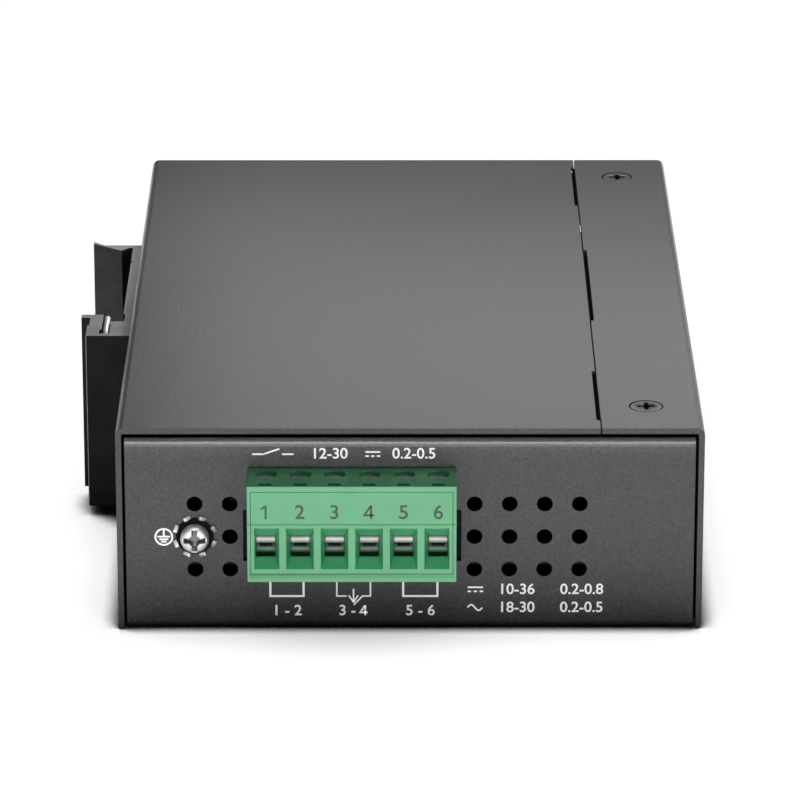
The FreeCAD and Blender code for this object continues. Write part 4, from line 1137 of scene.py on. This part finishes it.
@dataclass
class PanelPrint:
    """White legend on the terminal end: brackets, contact sign, earth sign, supply signs and numbers."""

    inset_mm: float = 0.5
    line_mm: float = 0.31
    contact_line_mm: float = 0.22
    earth_line_mm: float = 0.27
    supply_line_mm: float = 0.25
    four_line_mm: float = 0.27
    type_mm: float = 2.35
    bracket_z_mm: Point = (5.1, 8.6)
    brackets_mm: Sequence[Point] = ((-20.8, -15.85), (-1.01, 4.1))
    contact_mm: Lines = (
        ((-10.9, 3.5), (-10.9, 0.0), (-9.42, 0.0)), ((-8.41, 1.17), (-8.41, -0.94)),
        ((-9.14, 0.12), (-8.41, -0.94), (-7.71, 0.12)), ((-8.37, -1.41), (-7.09, 0.0), (-5.89, 0.0), (-5.89, 3.5)))
    earth_mm: Point = (-36.55, 14.58)
    earth_ring_mm: float = 1.26
    earth_stem_mm: Point = (1.15, 0.05)
    earth_bars_mm: Sequence[Point] = ((0.0, 0.95), (-0.42, 0.68), (-0.8, 0.4))
    ring_steps: int = 40
    wave_mm: tuple[float, float, float, float] = (8.6, 3.25, 2.2, 0.45)
    wave_steps: int = 16
    direct_mm: Sequence[tuple[float, float, float, float, float]] = (
        (8.6, 10.9, 6.5, 5.85, 0.9), (-6.6, -4.4, 28.05, 27.4, 0.85))
    dash_mm: float = 0.5
    dashes: int = 3
    switch_mm: Lines = (
        ((-23.3, 27.7), (-21.6, 27.7)), ((-21.5, 27.75), (-19.3, 28.55)), ((-18.9, 27.7), (-17.2, 27.7)))
    numbers: Sequence[tuple[str, str, float, float]] = (
        ("supply_pair_1", "1 - 2", -18.3, 2.75), ("contact_pair", "3 -", -9.33, 2.75),
        ("supply_pair_2", "5 - 6", 1.55, 2.75), ("direct_range", "10-36", 15.9, 6.15),
        ("direct_load", "0.2-0.8", 25.6, 6.15), ("mains_range", "18-30", 15.9, 3.25),
        ("mains_load", "0.2-0.5", 25.6, 3.25), ("contact_range", "12-30", -11.9, 27.75),
        ("contact_load", "0.2-0.5", 0.6, 27.75))
    four_mm: Point = (-6.9, 2.75)

    def build(self) -> None:
        """Lay all print on the panel's outer face."""
        ink = Print(Palette.WHITE_INK)
        low, high = self.bracket_z_mm
        brackets = [[(a, high), (a, low), (b, low), (b, high)] for a, b in self.brackets_mm]
        contact = [[(x, low + z) for x, z in line] for line in self.contact_mm]
        self.put(ink.strokes("terminal_brackets", brackets, self.line_mm))
        self.put(ink.strokes("contact_bracket", contact, self.contact_line_mm))
        self.put(ink.strokes("earth_sign", self.earth_lines(), self.earth_line_mm))
        self.put(ink.strokes("supply_signs", self.supply_lines(), self.supply_line_mm))
        for name, words, x, z in self.numbers:
            self.put(ink.text(name, words, self.type_mm), x, z)
        self.put(ink.strokes("contact_pair_end", FIGURE_FOUR, self.four_line_mm, self.type_mm), *self.four_mm)

    def put(self, item: Object, x_mm: float = 0.0, z_mm: float = 0.0) -> None:
        """Move print onto the panel and ride it on the case."""
        place_print(item, Vector((x_mm * MM, self.inset_mm * MM - CAD_BOX[1].y, z_mm * MM)))
        mount(item, "powder_coat")

    def earth_lines(self) -> list[Loop]:
        """Draw the protective-earth sign in its ring.

        Returns:
            The sign's lines.
        """
        x, z = self.earth_mm
        top, foot = self.earth_stem_mm
        turns = [2 * math.pi * step / self.ring_steps for step in range(self.ring_steps)]
        ring = [(x + self.earth_ring_mm * math.cos(turn), z + self.earth_ring_mm * math.sin(turn)) for turn in turns]
        bars = [[(x - half, z + drop + foot), (x + half, z + drop + foot)] for drop, half in self.earth_bars_mm]
        return [ring + ring[:1], [(x, z + top), (x, z + foot)]] + bars

    def supply_lines(self) -> list[Loop]:
        """Draw the direct- and alternating-current signs and a contact sign.

        Returns:
            The signs' lines.
        """
        left, height, length, swing = self.wave_mm
        steps = self.wave_steps
        lines = [[(left + length * step / steps, height + swing * math.sin(2 * math.pi * step / steps))
                  for step in range(steps + 1)], *self.switch_mm]
        for left, right, line, dash, pitch in self.direct_mm:
            lines.append([(left, line), (right, line)])
            starts = [left + pitch * at for at in range(self.dashes)]
            lines += [[(start, dash), (start + self.dash_mm, dash)] for start in starts]
        return lines


@dataclass
class PortFace:
    """Jack, fibre cage and lamps at the port face."""

    lip_mm: float = 0.4
    wall_mm: float = 0.5
    jack_edge_mm: float = 0.12
    cage_edge_mm: float = 0.1

    def build(self) -> None:
        """Dress the ports."""
        paint(Palette.GOLD, "rj45_contacts")
        paint(Palette.BLACK_PLASTIC, "sfp_connector", "led_holder")
        paint(Palette.LENS, "led_lenses")
        jack = make_piece("copper_jack", weld("rj45_jack"), (Palette.PORT_STEEL, Palette.BLACK_PLASTIC))
        low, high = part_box("rj45_jack")
        lip, wall = self.lip_mm * MM, self.wall_mm * MM
        for face in jack.data.polygons:
            x, y, z = face.center
            sunk = low.x + wall < x < high.x - lip
            face.material_index = int(sunk and low.y + wall < y < high.y - wall and low.z + wall < z < high.z - wall)
        soften(jack, self.jack_edge_mm)
        mount(jack, "port_steel", "rj45_jack")
        cage = make_piece("fibre_cage", weld("sfp_cage"), (Palette.PORT_STEEL,))
        soften(cage, self.cage_edge_mm)
        mount(cage, "port_steel", "sfp_cage")


@dataclass
class BoardAssembly:
    """Circuit board, its components and hardware inside the case."""

    finishes: Sequence[tuple[Palette, Sequence[str]]] = (
        (Palette.MASK, ("circuit_board",)), (Palette.ZINC, ("standoffs", "clinch_nuts")),
        (Palette.PHOSPHATE, ("board_screws",)), (Palette.CLAMP, ("header_pins",)),
        # The terminal header is black plastic; its black also stands in for the shade in the slot beside the plug.
        (Palette.BLACK_PLASTIC, ("terminal_header", "switch_chip", "lan_transformer", "alarm_relay", "power_inductor",
                                 "bridge_rectifier")),
        (Palette.TAPE, ("power_transformer",)), (Palette.SLEEVE, ("bulk_capacitors",)),
        (Palette.PORT_STEEL, ("crystal",)))

    def build(self) -> None:
        """Dress the inner pieces."""
        for finish, nodes in self.finishes:
            paint(finish, *nodes)


@dataclass
class Softbox:
    """An area lamp: where it hangs, what it points at, its cloth, its power and the angle its grid lets through."""

    name: str
    place_mm: Place
    aim_mm: Place
    size_mm: Point
    watts: float
    spread_deg: float = 180.0

    def build(self) -> Object:
        """Hang the lamp.

        Returns:
            The lamp.
        """
        data = bpy.data.lights.new(self.name, "AREA")
        data.spread = math.radians(self.spread_deg)
        data.shape = "RECTANGLE"
        data.size, data.size_y = (size * MM for size in self.size_mm)
        data.energy = self.watts
        item = show(self.name, data)
        place = Vector(self.place_mm)
        item.location = place * MM
        item.rotation_euler = (Vector(self.aim_mm) - place).to_track_quat("-Z", "Y").to_euler()
        return item


@dataclass
class Studio:
    """Pale floor, soft lights and the camera of the photograph; shade has a reach in millimetres and samples."""

    camera_mm: Place = (-2.02, -802.245, 305.359)
    pitch_deg: float = 20.063
    turn_deg: float = -0.042
    lens_mm: float = 240.0
    sensor_mm: float = 36.0
    clip_m: Point = (0.01, 20.0)
    sky: float = 0.14
    paper: str = "#3c3c3c"
    floor_m: float = 6.0
    floor_drop_mm: float = 0.02
    overhang_shade: tuple[float, int] = (18.0, 4)
    overhang_span: Point = (0.2, 0.72)
    overhang_glow: Point = (0.5, 1.0)
    contact_shade: tuple[float, int] = (6.0, 8)
    contact_span: Point = (0.5, 0.76)
    bounce: float = 0.86
    bounce_span: Point = (0.76, 0.9)
    lamps: Sequence[Softbox] = (
        Softbox("front_strip", (0, -366, 36), (0, -66, 36), (170, 60), 0.0105, 5.0),
        Softbox("top_strip", (0, -351, 671), (0, -66, 31), (200, 60), 1.2),
        Softbox("back_softbox", (36, 126, 108), (11, 0, 32), (170, 40), 0.074),
        Softbox("side_softbox", (250, 0, 270), (0, 0, 20), (140, 140), 0.8),
        Softbox("left_softbox", (-300, 120, 90), (-43, 0, 30), (120, 80), 0.06),
        Softbox("left_rim", (-145, 282, 16), (-43, 0, 28), (60, 28), 0.02),
        Softbox("right_rim", (145, 282, 16), (43, 0, 28), (60, 28), 0.02),
        Softbox("clip_kicker", (-250, -150, 60), (-47, 25, 16), (40, 40), 0.0075, 6.0),
        Softbox("edge_strip", (0, -167, 109.5), (0, -65.6, 30.3), (200, 2), 0.0015, 1.5))

    def build(self) -> None:
        """Set up the stage; the edge strip lights only the base's sheet."""
        self.camera()
        self.world()
        self.floor()
        lamps = {lamp.name: lamp.build() for lamp in self.lamps}
        flagged = bpy.data.collections.new("flagged_to_base_sheet")
        flagged.objects.link(bpy.data.objects["base_sheet"])
        lamps["edge_strip"].light_linking.receiver_collection = flagged
        bpy.context.scene.view_settings.view_transform = "Standard"
        LOG.info("studio set")

    def camera(self) -> None:
        """Put the camera where the photograph was taken from."""
        data = bpy.data.cameras.new("camera")
        data.lens = self.lens_mm
        data.sensor_width = self.sensor_mm
        data.clip_start, data.clip_end = self.clip_m
        item = show("camera", data)
        item.location = Vector(self.camera_mm) * MM
        item.rotation_euler = (math.radians(90 - self.pitch_deg), 0.0, math.radians(self.turn_deg))
        bpy.context.scene.camera = item

    def world(self) -> None:
        """Light the set evenly from all round, white to the eye."""
        world = bpy.data.worlds.new("studio")
        tree = empty_tree(world)
        path = add_node(tree, "ShaderNodeLightPath")
        strength = remap(tree, path.outputs["Is Camera Ray"], self.sky, 1.0)
        sky = add_node(tree, "ShaderNodeBackground", {"Color": linear(WHITE), "Strength": strength})
        add_node(tree, "ShaderNodeOutputWorld", {"Surface": sky.outputs["Background"]})
        bpy.context.scene.world = world

    def floor(self) -> None:
        """Lay a white floor that keeps the object's shadow and is clear from below."""
        mesh = bmesh.new()
        bmesh.ops.create_grid(mesh, x_segments=1, y_segments=1, size=self.floor_m)
        item = make_piece("floor", mesh, ())
        material = bpy.data.materials.new("white_paper_sweep")
        material.cycles.emission_sampling = "NONE"
        tree = empty_tree(material)
        paper = add_node(tree, "ShaderNodeBsdfDiffuse", {"Color": linear(self.paper)})
        under, near = [add_node(tree, "ShaderNodeAmbientOcclusion", {"Distance": reach_mm * MM}, samples=samples)
                       .outputs["AO"] for reach_mm, samples in (self.overhang_shade, self.contact_shade)]
        soft = remap(tree, under, *self.overhang_glow, self.overhang_span)
        shade = remap(tree, near, 0.0, soft, self.contact_span, True)
        bounce = remap(tree, under, 0.0, self.bounce, self.bounce_span, True)
        path = add_node(tree, "ShaderNodeLightPath")
        shown = remap(tree, path.outputs["Is Camera Ray"], bounce, shade)
        glow = add_node(tree, "ShaderNodeEmission", {"Color": linear(WHITE), "Strength": shown})
        both = add_node(tree, "ShaderNodeAddShader", {0: paper.outputs[0], 1: glow.outputs[0]})
        side = add_node(tree, "ShaderNodeNewGeometry")
        clear = add_node(tree, "ShaderNodeBsdfTransparent")
        sheet = add_node(tree, "ShaderNodeMixShader",
                         {0: side.outputs["Backfacing"], 1: both.outputs[0], 2: clear.outputs[0]})
        add_node(tree, "ShaderNodeOutputMaterial", {"Surface": sheet.outputs[0]})
        item.data.materials.append(material)
        item.location.z = -self.floor_drop_mm * MM


def main() -> None:
    """Build every sub-assembly in order."""
    logging.basicConfig(level=logging.INFO, format="%(name)s: %(message)s")
    for part in (CaseShell(), CaseFasteners(), GroundTerminal(), RailClip(), TerminalPlug(), PanelPrint(), PortFace(),
                 BoardAssembly(), Studio()):
        part.build()


if __name__ == "__main__":
    main()
